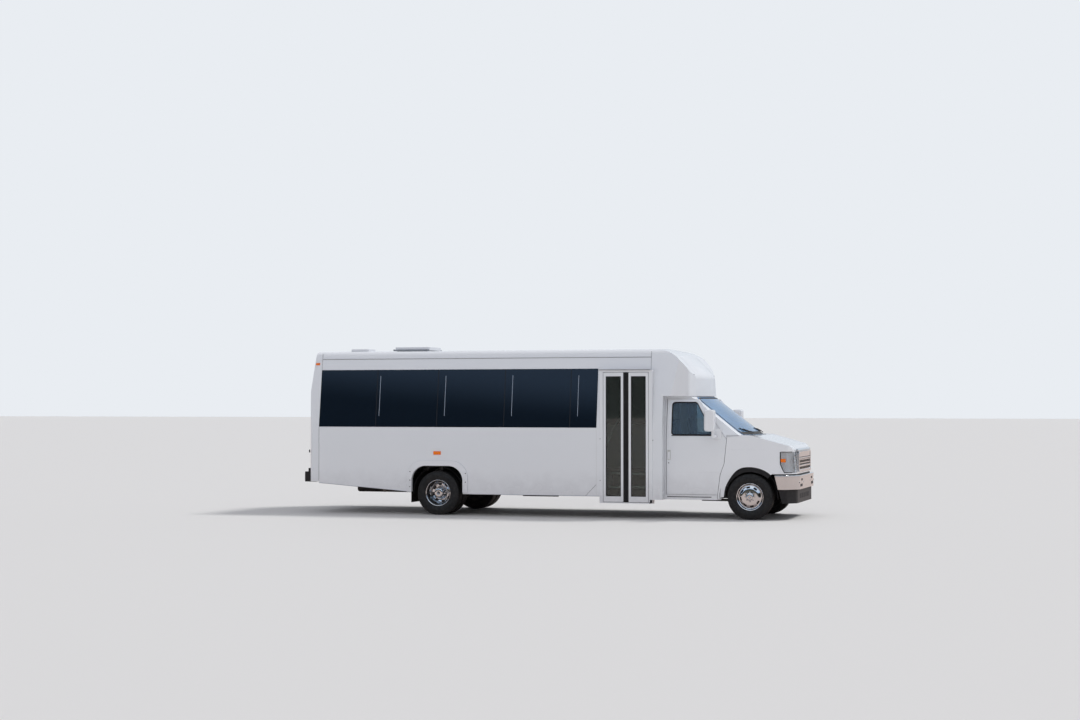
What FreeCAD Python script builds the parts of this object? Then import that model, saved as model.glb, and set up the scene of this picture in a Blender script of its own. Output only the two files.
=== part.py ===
import FreeCAD, Part
import math
import os
import Sketcher
from collections import namedtuple

# A cutaway-chassis minibus. X points forward, Y to the driver's side and Z up, in millimetres.
# Every piece is drawn with x = 0 at the front axle and z = 0 on the ground, and its placement then
# moves it so that the origin lies under the middle of the whole bus.

# Names that end in _aft are distances behind the front axle, in _ahead in front of it, in _behind
# behind the rear axle, in _past behind the cab's bulkhead, in _z above the ground, and in _half from
# the middle plane to one side.
SIZES = (
    # name, millimetres or degrees
    ("wheelbase", 5283),
    ("front_overhang", 768),
    ("rear_overhang", 2458),
    ("shut_gap", 6),
    ("seat_gap", 0.3),
    ("overshoot", 300),
    # wheels
    ("tyre_radius", 372),
    ("tyre_width", 222),
    ("tread_width", 196),
    ("rim_radius", 220),
    ("bead_radius", 205),
    ("rim_width", 180),
    ("rim_wall", 12),
    ("front_wheel_half", 881.5),
    ("outer_twin_half", 1074),
    ("twin_spacing", 260),
    ("kingpin_half", 770),
    ("kingpin_radius", 16),
    ("spindle_radius", 42),
    ("hub_radius", 75),
    ("disc_thick", 14),
    # chassis
    ("rail_half", 432),
    ("rail_flange", 60),
    ("rail_web", 8),
    ("rail_bottom_z", 470),
    ("rail_top_z", 640),
    ("rail_front_ahead", 620),
    ("rail_back_behind", 2257),
    ("member_lift", 70),
    ("member_width", 60),
    ("sill_pitch", 620),
    ("sill_width", 50),
    ("axle_tube_radius", 55),
    ("engine_half", 290),
    ("engine_bottom_z", 400),
    ("engine_top_z", 1000),
    ("engine_front_ahead", 330),
    ("engine_back_aft", 420),
    ("muffler_radius", 90),
    ("muffler_back_aft", 3950),
    ("muffler_front_aft", 3330),
    ("pipe_radius", 32),
    ("hanger_radius", 8),
    ("exhaust_half", 615),
    ("exhaust_z", 400),
    ("exhaust_over_axle_z", 530),
    ("exhaust_front_aft", 1700),
    ("tank_length", 1150),
    ("tank_half", 330),
    ("tank_bottom_z", 330),
    ("tank_front_behind", 677),
    # coach body
    ("coach_half", 1220),
    ("coach_wall", 45),
    ("skirt_z", 360),
    ("skirt_rise", 165),
    ("belt_z", 1470),
    ("seam_z", 2640),
    ("roof_edge_z", 2765),
    ("roof_z", 2800),
    ("wall_lean", 150),
    ("roof_corner", 110),
    ("floor_z", 740),
    ("floor_thick", 40),
    ("wall_back_behind", 2167),
    ("rear_face_behind", 2353),
    ("rear_slope_z", 2110),
    ("rear_top_behind", 2272),
    ("rear_bottom_z", 540),
    ("rear_corner", 90),
    ("cap_seam_past", 211),
    ("bulkhead_aft", 1395),
    ("bulkhead_thick", 45),
    ("bulkhead_open_half", 700),
    # window band
    ("band_back_behind", 2167),
    ("band_front_past", 1105),
    ("left_band_front_past", 325),
    ("band_bottom_z", 1480),
    ("band_top_z", 2455),
    ("glass_thick", 6),
    ("glass_joint", 8),
    ("post_half", 34),
    ("window_corner", 40),
    ("joint_1_behind", 1167),
    ("joint_2_behind", 77),
    ("joint_3_aft", 4180),
    ("joint_4_aft", 3020),
    # rear wheel arch
    ("arch_half_length", 458),
    ("arch_top_z", 828),
    ("arch_corner", 250),
    ("flare_width", 90),
    ("flare_out", 24),
    ("wheelhouse_top_z", 900),
    ("wheelhouse_inner_half", 650),
    ("sheet_thick", 20),
    # entry
    ("entry_back_past", 1051),
    ("entry_front_past", 161),
    ("entry_bottom_z", 250),
    ("entry_top_z", 2427),
    ("entry_jamb", 60),
    ("entry_head", 34),
    ("entry_out", 10),
    ("entry_depth", 150),
    ("leaf_thick", 40),
    ("leaf_frame", 42),
    ("leaf_bottom_rail", 90),
    ("leaf_middle_past", 603),
    ("leaf_seal", 40),
    ("step_1_z", 290),
    ("step_2_z", 515),
    ("step_run", 250),
    ("step_thick", 25),
    # front cap
    ("cap_under_z", 2000),
    ("cap_front_aft", 752),
    ("cap_brow_aft", 775),
    ("cap_brow_z", 2330),
    ("cap_crown_aft", 960),
    ("cap_crown_z", 2490),
    ("cap_rise_aft", 1300),
    ("cap_rise_z", 2725),
    ("cap_corner_aft", 860),
    ("cap_corner_half", 965),
    ("cap_nose_half", 700),
    ("cap_wall", 45),
    # cab
    ("cab_half", 1000),
    ("cab_wall", 62),
    ("cab_belt_z", 1300),
    ("cab_lean", 110),
    ("cab_roof", 45),
    ("rocker_z", 315),
    ("rocker_width", 90),
    ("cab_floor_z", 685),
    ("firewall_aft", 90),
    ("firewall_thick", 40),
    ("cowl_z", 1365),
    ("screen_base_ahead", 72),
    ("screen_base_rake", 0.2525),
    ("screen_radius", 2000),
    ("screen_top_aft", 748),
    ("screen_top_z", 1985),
    ("screen_base_half", 860),
    ("screen_top_half", 745),
    ("screen_frame", 45),
    ("screen_wall", 60),
    ("wheel_pocket_aft", 480),
    ("wheel_pocket_half", 540),
    ("wheel_pocket_z", 800),
    # cab doors
    ("door_back_past", -23),
    ("door_bottom_z", 400),
    ("door_top_z", 1950),
    ("door_thick", 50),
    ("door_belt_aft", 379),
    ("door_waist_aft", 421),
    ("door_waist_z", 910),
    ("door_knee_aft", 488),
    ("door_knee_z", 720),
    ("door_toe_aft", 530),
    ("door_head_aft", 850),
    ("door_window_back_past", -100),
    ("door_window_base_z", 1365),
    ("door_window_base_aft", 584),
    ("door_window_top_z", 1905),
    ("door_window_top_aft", 880),
    ("door_lap", 22),
    ("hinge_gap", 8),
    ("latch_gap", 10),
    ("mirror_half", 1200),
    ("mirror_width", 190),
    ("mirror_depth", 110),
    ("mirror_bottom_z", 1432),
    ("mirror_top_z", 1770),
    ("mirror_aft", 590),
    # nose
    ("fender_wall", 42),
    ("nose_ahead", 725),
    ("nose_top_ahead", 700),
    ("nose_top_z", 1110),
    ("nose_brow_ahead", 630),
    ("nose_brow_z", 1195),
    ("nose_bottom_z", 743),
    ("nose_taper_ahead", 350),
    ("nose_corner_ahead", 600),
    ("nose_corner_half", 935),
    ("nose_front_half", 740),
    ("front_arch_radius", 495),
    ("front_arch_back_aft", 430),
    ("hood_back_half", 790),
    ("hood_front_half", 660),
    ("hood_thick", 35),
    ("hood_back_ahead", 40),
    ("hood_back_z", 1359),
    ("hood_lap", 20),
    ("fender_top_wall", 62),
    ("grille_half", 570),
    ("grille_bottom_z", 790),
    ("grille_top_z", 1085),
    ("grille_thick", 30),
    ("grille_bar", 14),
    ("grille_rows", 5),
    ("grille_columns", 14),
    ("lamp_inner_half", 630),
    ("lamp_back_ahead", 490),
    ("lamp_bottom_z", 765),
    ("lamp_top_z", 1100),
    ("bumper_bottom_z", 494),
    ("bumper_top_z", 718),
    ("bumper_back_ahead", 400),
    ("bumper_half", 985),
    ("bumper_wall", 60),
    ("dam_bottom_z", 270),
    ("dam_inset", 35),
    # rear end
    ("rear_bumper_bottom_z", 531),
    ("rear_bumper_top_z", 704),
    ("rear_step_z", 765),
    ("rear_bumper_half", 1150),
    ("plate_pitch_across", 178),
    ("plate_pitch_up", 121),
    ("plate_hole_radius", 3.5),
    ("plate_hole_depth", 25),
    ("rear_door_half", 430),
    ("rear_door_bottom_z", 810),
    ("rear_door_top_z", 2080),
    ("rear_window_half", 320),
    ("rear_window_bottom_z", 1350),
    ("rear_window_top_z", 1980),
    # roof fittings
    ("hatch_front_behind", 486),
    ("hatch_back_behind", 1132),
    ("hatch_half", 300),
    ("hatch_top_z", 2865),
    ("hatch_wall", 25),
    ("vent_front_behind", 1680),
    ("vent_back_behind", 2024),
    ("vent_top_z", 2840),
    # fittings
    ("seat_pitch", 760),
    ("seat_first_past", 1505),
    ("seat_half_gap", 210),
    ("seat_width", 900),
    ("steering_wheel_radius", 195),
    ("steering_rim_radius", 14),
    ("steering_wheel_past", -695),
    ("steering_wheel_half", 400),
    ("steering_wheel_z", 1150),
    ("column_rake", 35),
    ("column_reach", 240),
    ("column_radius", 45),
)

Ring = namedtuple("Ring", "across up radius")

# A wheel, and a round bar or boss, has this many flat sides, so that the facets of what repeats stay few.
WHEEL_SIDES = 24
BAR_SIDES = 12
# These lay a turned piece's own Z axis along the bus, and outwards to the left and to the right.
ALONG = FreeCAD.Rotation(FreeCAD.Vector(0, 1, 0), 90)
OUTWARDS = {1: FreeCAD.Rotation(FreeCAD.Vector(1, 0, 0), -90), -1: FreeCAD.Rotation(FreeCAD.Vector(1, 0, 0), 90)}

document = FreeCAD.newDocument("Minibus")
sheet = document.addObject("Spreadsheet::Sheet", "Sizes")


class Size:
    """A number worked out from the sheet, kept with the formula that gives it."""

    def __init__(self, value, formula):
        self.value = value
        self.formula = formula

    def __add__(self, other):
        other = as_size(other)
        return Size(self.value + other.value, "(%s + %s)" % (self.formula, other.formula))

    def __sub__(self, other):
        other = as_size(other)
        return Size(self.value - other.value, "(%s - %s)" % (self.formula, other.formula))

    def __mul__(self, other):
        other = as_size(other)
        return Size(self.value * other.value, "(%s * %s)" % (self.formula, other.formula))

    def __truediv__(self, other):
        other = as_size(other)
        return Size(self.value / other.value, "(%s / %s)" % (self.formula, other.formula))

    def __neg__(self):
        return self * -1

    def __rsub__(self, other):
        return as_size(other) - self

    __radd__ = __add__
    __rmul__ = __mul__


def as_size(number):
    if isinstance(number, Size):
        return number
    return Size(float(number), "(%r)" % number)


def whole(number):
    """How many whole times a size holds, for the copies of a pattern."""
    return Size(math.floor(number.value), "floor(%s)" % number.formula)


def fill_sheet():
    """Write every driving size into the sheet and give it back under its name; what lies behind the rear
    axle or the bulkhead also gets its distance behind the front axle."""
    named = {}
    for row, (name, number) in enumerate(SIZES, start=1):
        sheet.set("A%d" % row, name)
        sheet.set("B%d" % row, "%r" % number)
        sheet.setAlias("B%d" % row, name)
        named[name] = Size(float(number), "Sizes.%s" % name)
    for ending, start in (("_behind", "wheelbase"), ("_past", "bulkhead_aft")):
        for name in [name for name in named if name.endswith(ending)]:
            named[name.replace(ending, "_aft")] = named[start] + named[name]
    return namedtuple("Sizes", named)(**named)


S = fill_sheet()
document.recompute()
front_axle_x = (S.wheelbase + S.rear_overhang - S.front_overhang) / 2
pieces = []


def bind(item, field, number):
    item.setExpression(field, as_size(number).formula)


def place(item, x=0, y=0, z=0):
    """Move a piece by x, y and z from the point on the ground under the front axle."""
    bind(item, "Placement.Base.x", front_axle_x + x)
    bind(item, "Placement.Base.y", y)
    bind(item, "Placement.Base.z", z)


def new_body(label, x=0, y=0, z=0, turn=0, whole_piece=True):
    """Start a sub-part, or a part of one that is joined to others; turn is about the vertical."""
    body = document.addObject("PartDesign::Body", label)
    body.Label = label
    body.AllowCompound = True
    body.Placement.Rotation = FreeCAD.Rotation(FreeCAD.Vector(0, 0, 1), turn)
    place(body, x, y, z)
    if whole_piece:
        pieces.append(body)
    return body


def sketch_on(body, plane, name, level):
    """A sketch on one of the body's planes, at a level along that plane's axis."""
    sketch = body.newObject("Sketcher::SketchObject", name)
    for feature in body.Origin.OriginFeatures:
        if feature.Role == plane + "_Plane":
            sketch.AttachmentSupport = [(feature, "")]
    sketch.MapMode = "FlatFace"
    bind(sketch, "AttachmentOffset.Base.z", -as_size(level) if plane == "XZ" else level)
    return sketch


def fix_point(sketch, geometry, end, across, up):
    """Hold a point at two distances from the sketch's origin, both bound to the sheet."""
    for kind, number in (("DistanceX", as_size(across)), ("DistanceY", as_size(up))):
        index = sketch.addConstraint(Sketcher.Constraint(kind, -1, 1, geometry, end, number.value))
        sketch.setExpression("Constraints[%d]" % index, number.formula)


def draw_ring(sketch, ring):
    radius = as_size(ring.radius)
    centre = FreeCAD.Vector(as_size(ring.across).value, as_size(ring.up).value, 0)
    edge = sketch.addGeometry(Part.Circle(centre, FreeCAD.Vector(0, 0, 1), radius.value))
    fix_point(sketch, edge, 3, ring.across, ring.up)
    index = sketch.addConstraint(Sketcher.Constraint("Radius", edge, radius.value))
    sketch.setExpression("Constraints[%d]" % index, radius.formula)


def rounding(before, corner, after, radius):
    """The two tangent points, the centre and the turn of an arc that rounds a corner."""
    back = (before - corner).normalize()
    onward = (after - corner).normalize()
    half_angle = back.getAngle(onward) / 2
    reach = radius / math.tan(half_angle)
    inward = (back + onward).normalize()
    centre = corner + inward * (radius / math.sin(half_angle))
    return corner + back * reach, corner + onward * reach, centre, back.cross(onward).z < 0


def draw_outline(sketch, corners):
    """A closed outline of straight lines; a corner with a third number is rounded to that radius."""
    points = [FreeCAD.Vector(as_size(c[0]).value, as_size(c[1]).value, 0) for c in corners]
    count = len(corners)
    starts = list(points)
    ends = list(points)
    arcs = {}
    for i, corner in enumerate(corners):
        if len(corner) > 2:
            radius = as_size(corner[2])
            first, second, centre, left_turn = rounding(
                points[i - 1], points[i], points[(i + 1) % count], radius.value)
            ends[i] = first
            starts[i] = second
            arcs[i] = (radius, first, second, centre, left_turn)
    lines = [
        sketch.addGeometry(Part.LineSegment(starts[i], ends[(i + 1) % count]))
        for i in range(count)
    ]
    for i, corner in enumerate(corners):
        line_in = lines[i - 1]
        line_out = lines[i]
        if i not in arcs:
            sketch.addConstraint(Sketcher.Constraint("Coincident", line_in, 2, line_out, 1))
            fix_point(sketch, line_out, 1, corner[0], corner[1])
            continue
        radius, first, second, centre, left_turn = arcs[i]
        circle = Part.Circle(centre, FreeCAD.Vector(0, 0, 1), radius.value)
        begin, finish = (first, second) if left_turn else (second, first)
        arc = sketch.addGeometry(Part.ArcOfCircle(
            circle, circle.parameter(begin), circle.parameter(finish)))
        peak = sketch.addGeometry(Part.Point(points[i]), True)
        fix_point(sketch, peak, 1, corner[0], corner[1])
        sketch.addConstraint(Sketcher.Constraint("PointOnObject", peak, 1, line_in))
        sketch.addConstraint(Sketcher.Constraint("PointOnObject", peak, 1, line_out))
        sketch.addConstraint(Sketcher.Constraint("Tangent", line_in, 2, arc, 1 if left_turn else 2))
        sketch.addConstraint(Sketcher.Constraint("Tangent", line_out, 1, arc, 2 if left_turn else 1))
        index = sketch.addConstraint(Sketcher.Constraint("Radius", arc, radius.value))
        sketch.setExpression("Constraints[%d]" % index, radius.formula)


def draw(body, plane, name, level, outlines):
    sketch = sketch_on(body, plane, name, level)
    for outline in outlines:
        if isinstance(outline, Ring):
            draw_ring(sketch, outline)
        else:
            draw_outline(sketch, outline)
    return sketch


def extrude(kind, body, plane, name, outlines, start, end):
    """Pad or pocket outlines of the plane between two levels along the axis that it faces."""
    low, high = sorted((as_size(start), as_size(end)), key=lambda level: level.value)
    sketch = draw(body, plane, name + "Sketch", high if plane == "XZ" else low, outlines)
    feature = body.newObject("PartDesign::" + kind, name)
    feature.Profile = sketch
    feature.Reversed = kind == "Pocket"
    bind(feature, "Length", high - low)
    return feature


def pad(body, plane, name, outlines, start, end):
    return extrude("Pad", body, plane, name, outlines, start, end)


def pocket(body, plane, name, outlines, start, end):
    return extrude("Pocket", body, plane, name, outlines, start, end)


def trim(body, plane, name, outline, reach, start, end):
    """Cut away all that lies outside an outline, out to a reach each way."""
    frame = box_outline(-reach, reach, -reach, reach)
    return pocket(body, plane, name, [frame, outline], start, end)


def slanted(feature, run, rise):
    """Turn an upright pad or pocket so that it leans backwards by run over rise."""
    feature.UseCustomVector = True
    feature.AlongSketchNormal = True
    feature.Reversed = False
    feature.Direction = FreeCAD.Vector(-as_size(run).value, 0, as_size(rise).value)
    return feature


def revolve(body, axis, name, outlines):
    """Turn outlines about the body's own X, Y or Z axis; each point is (along, out) from it."""
    plane, reference = {"X": ("XZ", "H_Axis"), "Y": ("YZ", "H_Axis"), "Z": ("XZ", "V_Axis")}[axis]
    sketch = draw(body, plane, name + "Sketch", 0, outlines)
    feature = body.newObject("PartDesign::Revolution", name)
    feature.Profile = sketch
    feature.ReferenceAxis = (sketch, [reference])
    feature.Angle = 360
    return feature


def cut_away(body, tool):
    """Take the whole of another body out of this one."""
    cut = body.newObject("PartDesign::Boolean", tool.Name + "Cut")
    cut.Type = "Cut"
    cut.addObjects([tool])


def repeat_round(body, feature, axis, count):
    pattern = body.newObject("PartDesign::PolarPattern", feature.Name + "Round")
    pattern.Originals = [feature]
    for part in body.Origin.OriginFeatures:
        if part.Role == axis + "_Axis":
            pattern.Axis = (part, [""])
    pattern.Angle = 360
    pattern.Occurrences = count
    body.Tip = pattern
    return pattern


def repeat_along(body, feature, axis, pitch, count, backwards=False):
    features = feature if isinstance(feature, list) else [feature]
    pattern = body.newObject("PartDesign::LinearPattern", features[0].Name + "Along")
    pattern.Originals = features
    for part in body.Origin.OriginFeatures:
        if part.Role == axis + "_Axis":
            pattern.Direction = (part, [""])
    pattern.Reversed = backwards
    pattern.Mode = "Spacing"
    bind(pattern, "Offset", pitch)
    bind(pattern, "Occurrences", count)
    body.Tip = pattern
    return pattern


def mirror(body, features, plane="XZ"):
    """Repeat features on the other side of the body's middle plane."""
    mirrored = body.newObject("PartDesign::Mirrored", features[-1].Name + "Mirrored")
    mirrored.Originals = features
    for part in body.Origin.OriginFeatures:
        if part.Role == plane + "_Plane":
            mirrored.MirrorPlane = (part, [""])
    body.Tip = mirrored
    return mirrored


def box_outline(left, right, bottom, top, radius=None):
    corners = [(left, bottom), (right, bottom), (right, top), (left, top)]
    if radius is None:
        return corners
    return [corner + (radius,) for corner in corners]


def polygon(across, up, radius, sides=BAR_SIDES):
    """A regular outline whose corners lie on a circle."""
    corners = []
    for number in range(sides):
        turn = math.tau * (number + 0.5) / sides
        corners.append((across + radius * round(math.cos(turn), 6), up + radius * round(math.sin(turn), 6)))
    return corners


def clear_of(radius, sides=BAR_SIDES):
    """The corner radius of a polygon whose flats clear a round bar of a radius that turns in it."""
    return (radius + S.seat_gap) / math.cos(math.pi / sides)


def flat_face(*loops):
    wires = [Part.makePolygon(list(loop) + [loop[0]]) for loop in loops]
    return Part.makeFace(wires, "Part::FaceMakerBullseye")


def faceted(name, section, sides, turn, x=0, y=0, z=0):
    """A turned form with flat sides. Its closed section of (along, radius) points goes round its own Z
    axis, which a turn lays along the bus; a radius reaches to the middle of a side."""
    rings = []
    levels = []
    for along, radius in section:
        corner = as_size(radius).value / math.cos(math.pi / sides)
        level = as_size(along).value
        angles = [math.tau * (number + 0.5) / sides for number in range(sides)]
        rings.append([FreeCAD.Vector(corner * math.cos(angle), corner * math.sin(angle), level) for angle in angles])
        levels.append((level, corner))
    faces = []
    for number, ring in enumerate(rings):
        before = rings[number - 1]
        (level_before, reach_before), (level, reach) = levels[number - 1], levels[number]
        if max(reach, reach_before) < 1e-6:
            continue
        if abs(level - level_before) < 1e-6:
            loops = [loop for loop, size in ((ring, reach), (before, reach_before)) if size > 1e-6]
            faces.append(flat_face(*loops))
            continue
        for side in range(sides):
            onward = (side + 1) % sides
            faces.append(flat_face([before[side], before[onward], ring[onward], ring[side]]))
    shell = Part.makeShell(faces)
    shell.sewShape()
    solid = Part.makeSolid(shell)
    if solid.Volume < 0:
        solid.reverse()
    form = document.addObject("Part::Feature", name)
    form.Shape = solid
    form.Placement.Rotation = turn
    place(form, x, y, z)
    return form


def less(label, base, tools):
    """A form with others cut out of it."""
    cut = document.addObject("Part::Cut", label)
    cut.Label = label
    cut.Base = base
    cut.Tool = tools[0]
    if len(tools) > 1:
        cut.Tool = document.addObject("Part::MultiFuse", label + "Tools")
        cut.Tool.Shapes = tools
    return cut


def prism(name, radius, length, turn, x, y, z, sides=6):
    """A bar with flat sides along a turned Z axis, from a point."""
    bar = document.addObject("Part::Prism", name)
    bar.Polygon = sides
    bind(bar, "Circumradius", radius)
    bind(bar, "Height", length)
    bar.Placement.Rotation = turn
    place(bar, x, y, z)
    return bar


def both_sides(outline):
    """An outline on the left, as (half, up) points, and its mirror image on the right."""
    return outline + [(-as_size(c[0]),) + tuple(c[1:]) for c in reversed(outline)]


def side_name(side):
    return "left" if side > 0 else "right"


def side_turn(side):
    return 0 if side > 0 else 180


# Wheels, hubs and steering.

def tyre_section(middle):
    """A bead that seats on the rim, a bulged sidewall, a shoulder and a tread."""
    tread = S.tread_width / 2
    bulge = S.tyre_width / 2
    bead = S.rim_width / 2 - S.seat_gap
    half = [
        (bead, S.bead_radius + S.seat_gap),
        (bead, S.rim_radius + 4),
        (bulge, (S.tyre_radius + S.rim_radius) / 2),
        (bulge - 2, S.tyre_radius - 22),
        (tread, S.tyre_radius),
    ]
    return ([(middle - along, radius) for along, radius in half]
            + [(middle + along, radius) for along, radius in reversed(half)])


def barrel_section(middle):
    """The outside of a rim from its inner edge to its outer one: a flange, the bead seat and a flange."""
    bead = S.rim_width / 2
    return [
        (middle - bead - S.rim_wall, S.rim_radius),
        (middle - bead, S.rim_radius),
        (middle - bead, S.bead_radius),
        (middle + bead, S.bead_radius),
        (middle + bead, S.rim_radius),
        (middle + bead + S.rim_wall, S.rim_radius),
    ]


def hand_holes(name, side, x, y, ring_radius, hole_radius, length):
    """A ring of six-sided bars, to cut the holes that let air through a wheel's disc."""
    holes = []
    for number in range(8):
        angle = math.tau * (number + 0.5) / 8
        holes.append(prism("%s%d" % (name, number), hole_radius, length, OUTWARDS[side],
                           x + ring_radius * round(math.cos(angle), 6), y,
                           S.tyre_radius + ring_radius * round(math.sin(angle), 6)))
    return holes


def front_wheel(side):
    name = side_name(side)
    middle = S.front_wheel_half * side
    tyre = faceted("front_tyre_" + name, tyre_section(as_size(0)), WHEEL_SIDES, OUTWARDS[side],
                   0, middle, S.tyre_radius)
    pieces.append(tyre)
    inner = S.bead_radius - S.rim_wall
    edge = S.rim_width / 2 + S.rim_wall
    face = as_size(50)
    bore = S.spindle_radius + S.seat_gap
    dish = faceted("FrontDisc" + name, barrel_section(as_size(0)) + [
        (edge, inner),
        (face - 11, inner),
        (face + 19, inner - 30),
        (face + 34, S.hub_radius + 10),
        (face + 46, S.hub_radius - 20),
        (face + 52, 0),
        (40, 0),
        (40, bore),
        (-10, bore),
        (-10, S.hub_radius),
        (face - 20, S.hub_radius),
        (face, S.hub_radius + 15),
        (face + 5, inner - 30),
        (face - 25, inner),
        (-edge, inner),
    ], WHEEL_SIDES, OUTWARDS[side], 0, middle, S.tyre_radius)
    pieces.append(less("front_rim_" + name, dish,
                       hand_holes("FrontHandHole" + name, side, 0, middle, 140, 19, S.rim_width)))


def rear_wheel_pair(side):
    """Twin wheels whose two discs meet back to back and dish outwards, with the hub that stands out
    through the outer one."""
    name = side_name(side)
    outer = S.twin_spacing / 2
    middle = (S.outer_twin_half - outer) * side
    inner = S.bead_radius - S.rim_wall
    edge = outer + S.rim_width / 2 + S.rim_wall
    waist = outer - S.rim_width / 2 - S.rim_wall
    bore = S.spindle_radius + S.seat_gap
    discs = faceted("RearDiscs" + name, barrel_section(-outer) + [
        (as_size(0), S.hub_radius + 45)] + barrel_section(outer) + [
        (edge, inner),
        (waist + S.disc_thick, inner),
        (S.disc_thick, S.hub_radius + 30),
        (S.disc_thick, S.hub_radius),
        (outer - 10, S.hub_radius - 8),
        (outer + 12, S.hub_radius - 30),
        (outer + 20, 0),
        (as_size(6), 0),
        (as_size(6), bore),
        (-S.disc_thick, bore),
        (-S.disc_thick, S.hub_radius + 30),
        (-waist - S.disc_thick, inner),
        (-edge, inner),
    ], WHEEL_SIDES, OUTWARDS[side], -S.wheelbase, middle, S.tyre_radius)
    pieces.append(less("rear_rims_" + name, discs, hand_holes(
        "RearHandHole" + name, side, -S.wheelbase, middle - waist * 3 * side, 148, 17, waist * 6)))
    twins = [faceted("%sTyre%s" % (place_name, name), tyre_section(offset), WHEEL_SIDES, OUTWARDS[side],
                     -S.wheelbase, middle, S.tyre_radius)
             for place_name, offset in (("Outer", outer), ("Inner", -outer))]
    joined("rear_tyres_" + name, twins)


def knuckle(side):
    """An upright on the kingpin, with the spindle that the front wheel turns on."""
    name = side_name(side)
    body = new_body("knuckle_" + name, 0, S.kingpin_half * side, S.tyre_radius)
    reach = S.front_wheel_half - S.kingpin_half
    boss = S.kingpin_radius + 16
    for level in (-92, 52):
        pad(body, "XY", "Eye%s%d" % (name, 100 + level), [polygon(0, 0, boss)], level, level + 40)
        pad(body, "XY", "EyeRoot%s%d" % (name, 100 + level),
            [[(-26, 0), (26, 0), (26, (boss + 10) * side), (-26, (boss + 10) * side)]], level, level + 40)
    pad(body, "XZ", "Upright" + name, [box_outline(-30, 30, -92, 92)], (boss + 4) * side, (boss + 26) * side)
    pad(body, "XZ", "Spindle" + name, [polygon(0, 0, S.spindle_radius)], (boss + 12) * side, (reach + 35) * side)
    pad(body, "XY", "SteeringArm" + name, [[
        (-170, -62 * side), (-170, -28 * side), (-20, (boss + 10) * side), (25, (boss + 10) * side), (25, 0)]],
        -92, -62)
    pocket(body, "XY", "PinBore" + name, [polygon(0, 0, clear_of(S.kingpin_radius))], -100, 100)


def steering_wheel():
    """A rim with six sides in section, four spokes and a hub, square to the column."""
    lean = FreeCAD.Rotation(FreeCAD.Vector(0, 1, 0), -(90 - S.column_rake.value))
    centre = (-S.steering_wheel_aft, S.steering_wheel_half, S.steering_wheel_z)
    radius = S.steering_wheel_radius
    thick = S.steering_rim_radius
    rim = faceted("SteeringRim", [(thick * along, radius + thick * out) for along, out in (
        (-0.87, -0.5), (-0.87, 0.5), (0, 1), (0.87, 0.5), (0.87, -0.5), (0, -1))], WHEEL_SIDES, lean, *centre)
    hub = faceted("SteeringHub", [(-45, 0), (-45, 35), (-20, 70), (0, 60), (6, 0)], BAR_SIDES, lean, *centre)
    spokes = new_body("Spokes", *centre, whole_piece=False)
    spokes.Placement.Rotation = lean
    spoke = pad(spokes, "XY", "Spoke", [[(20, -18), (radius - 4, -12), (radius - 4, 12), (20, 18)]], -20, -6)
    repeat_round(spokes, spoke, "Z", 4)
    joined("steering_wheel", [rim, hub, spokes])


# Chassis.

def chassis_frame():
    body = new_body("chassis_frame")
    inner = S.rail_half - S.rail_flange
    web = S.rail_half - S.rail_web
    channel = [
        (inner, S.rail_bottom_z),
        (S.rail_half, S.rail_bottom_z),
        (S.rail_half, S.rail_top_z),
        (inner, S.rail_top_z),
        (inner, S.rail_top_z - S.rail_web),
        (web, S.rail_top_z - S.rail_web),
        (web, S.rail_bottom_z + S.rail_web),
        (inner, S.rail_bottom_z + S.rail_web),
    ]
    rail = pad(body, "YZ", "Rail", [channel], -S.rail_back_aft, S.rail_front_ahead)
    mirror(body, [rail])
    for name, aft in (("Front", -S.rail_front_ahead + 190), ("Gearbox", as_size(1500)), ("Middle", as_size(3000)),
                      ("Axle", S.wheelbase - 583), ("Rear", S.rail_back_aft - 90)):
        pad(body, "YZ", name + "Member",
            [box_outline(-web, web, S.rail_bottom_z + S.member_lift, S.rail_top_z - S.rail_web)],
            -aft, -aft + S.member_width)
    under_floor = S.floor_z - S.floor_thick
    sill = pad(body, "XZ", "Sill",
               [box_outline(-S.rail_back_aft + 10, -S.rail_back_aft + 10 + S.sill_width,
                            S.rail_top_z, under_floor)],
               -(S.coach_half - S.coach_wall), S.coach_half - S.coach_wall)
    room = S.rail_back_aft - S.entry_front_aft - S.sill_width
    repeat_along(body, sill, "X", S.sill_pitch, whole(room / S.sill_pitch) + 1)
    house = S.arch_half_length + S.sheet_thick
    clear = pocket(body, "XY", "WheelClearance", [
        box_outline(-S.wheelbase - house, -S.wheelbase + house,
                    S.wheelhouse_inner_half - S.sheet_thick, S.coach_half)],
        S.rail_top_z - 10, under_floor + 10)
    mirror(body, [clear])
    pocket(body, "XY", "StepClearance", [
        box_outline(-S.entry_back_aft - S.shut_gap, -S.entry_front_aft + S.shut_gap,
                    -S.coach_half, -S.rail_half - S.sill_width)],
        S.rail_top_z - 10, under_floor + 10)


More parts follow.
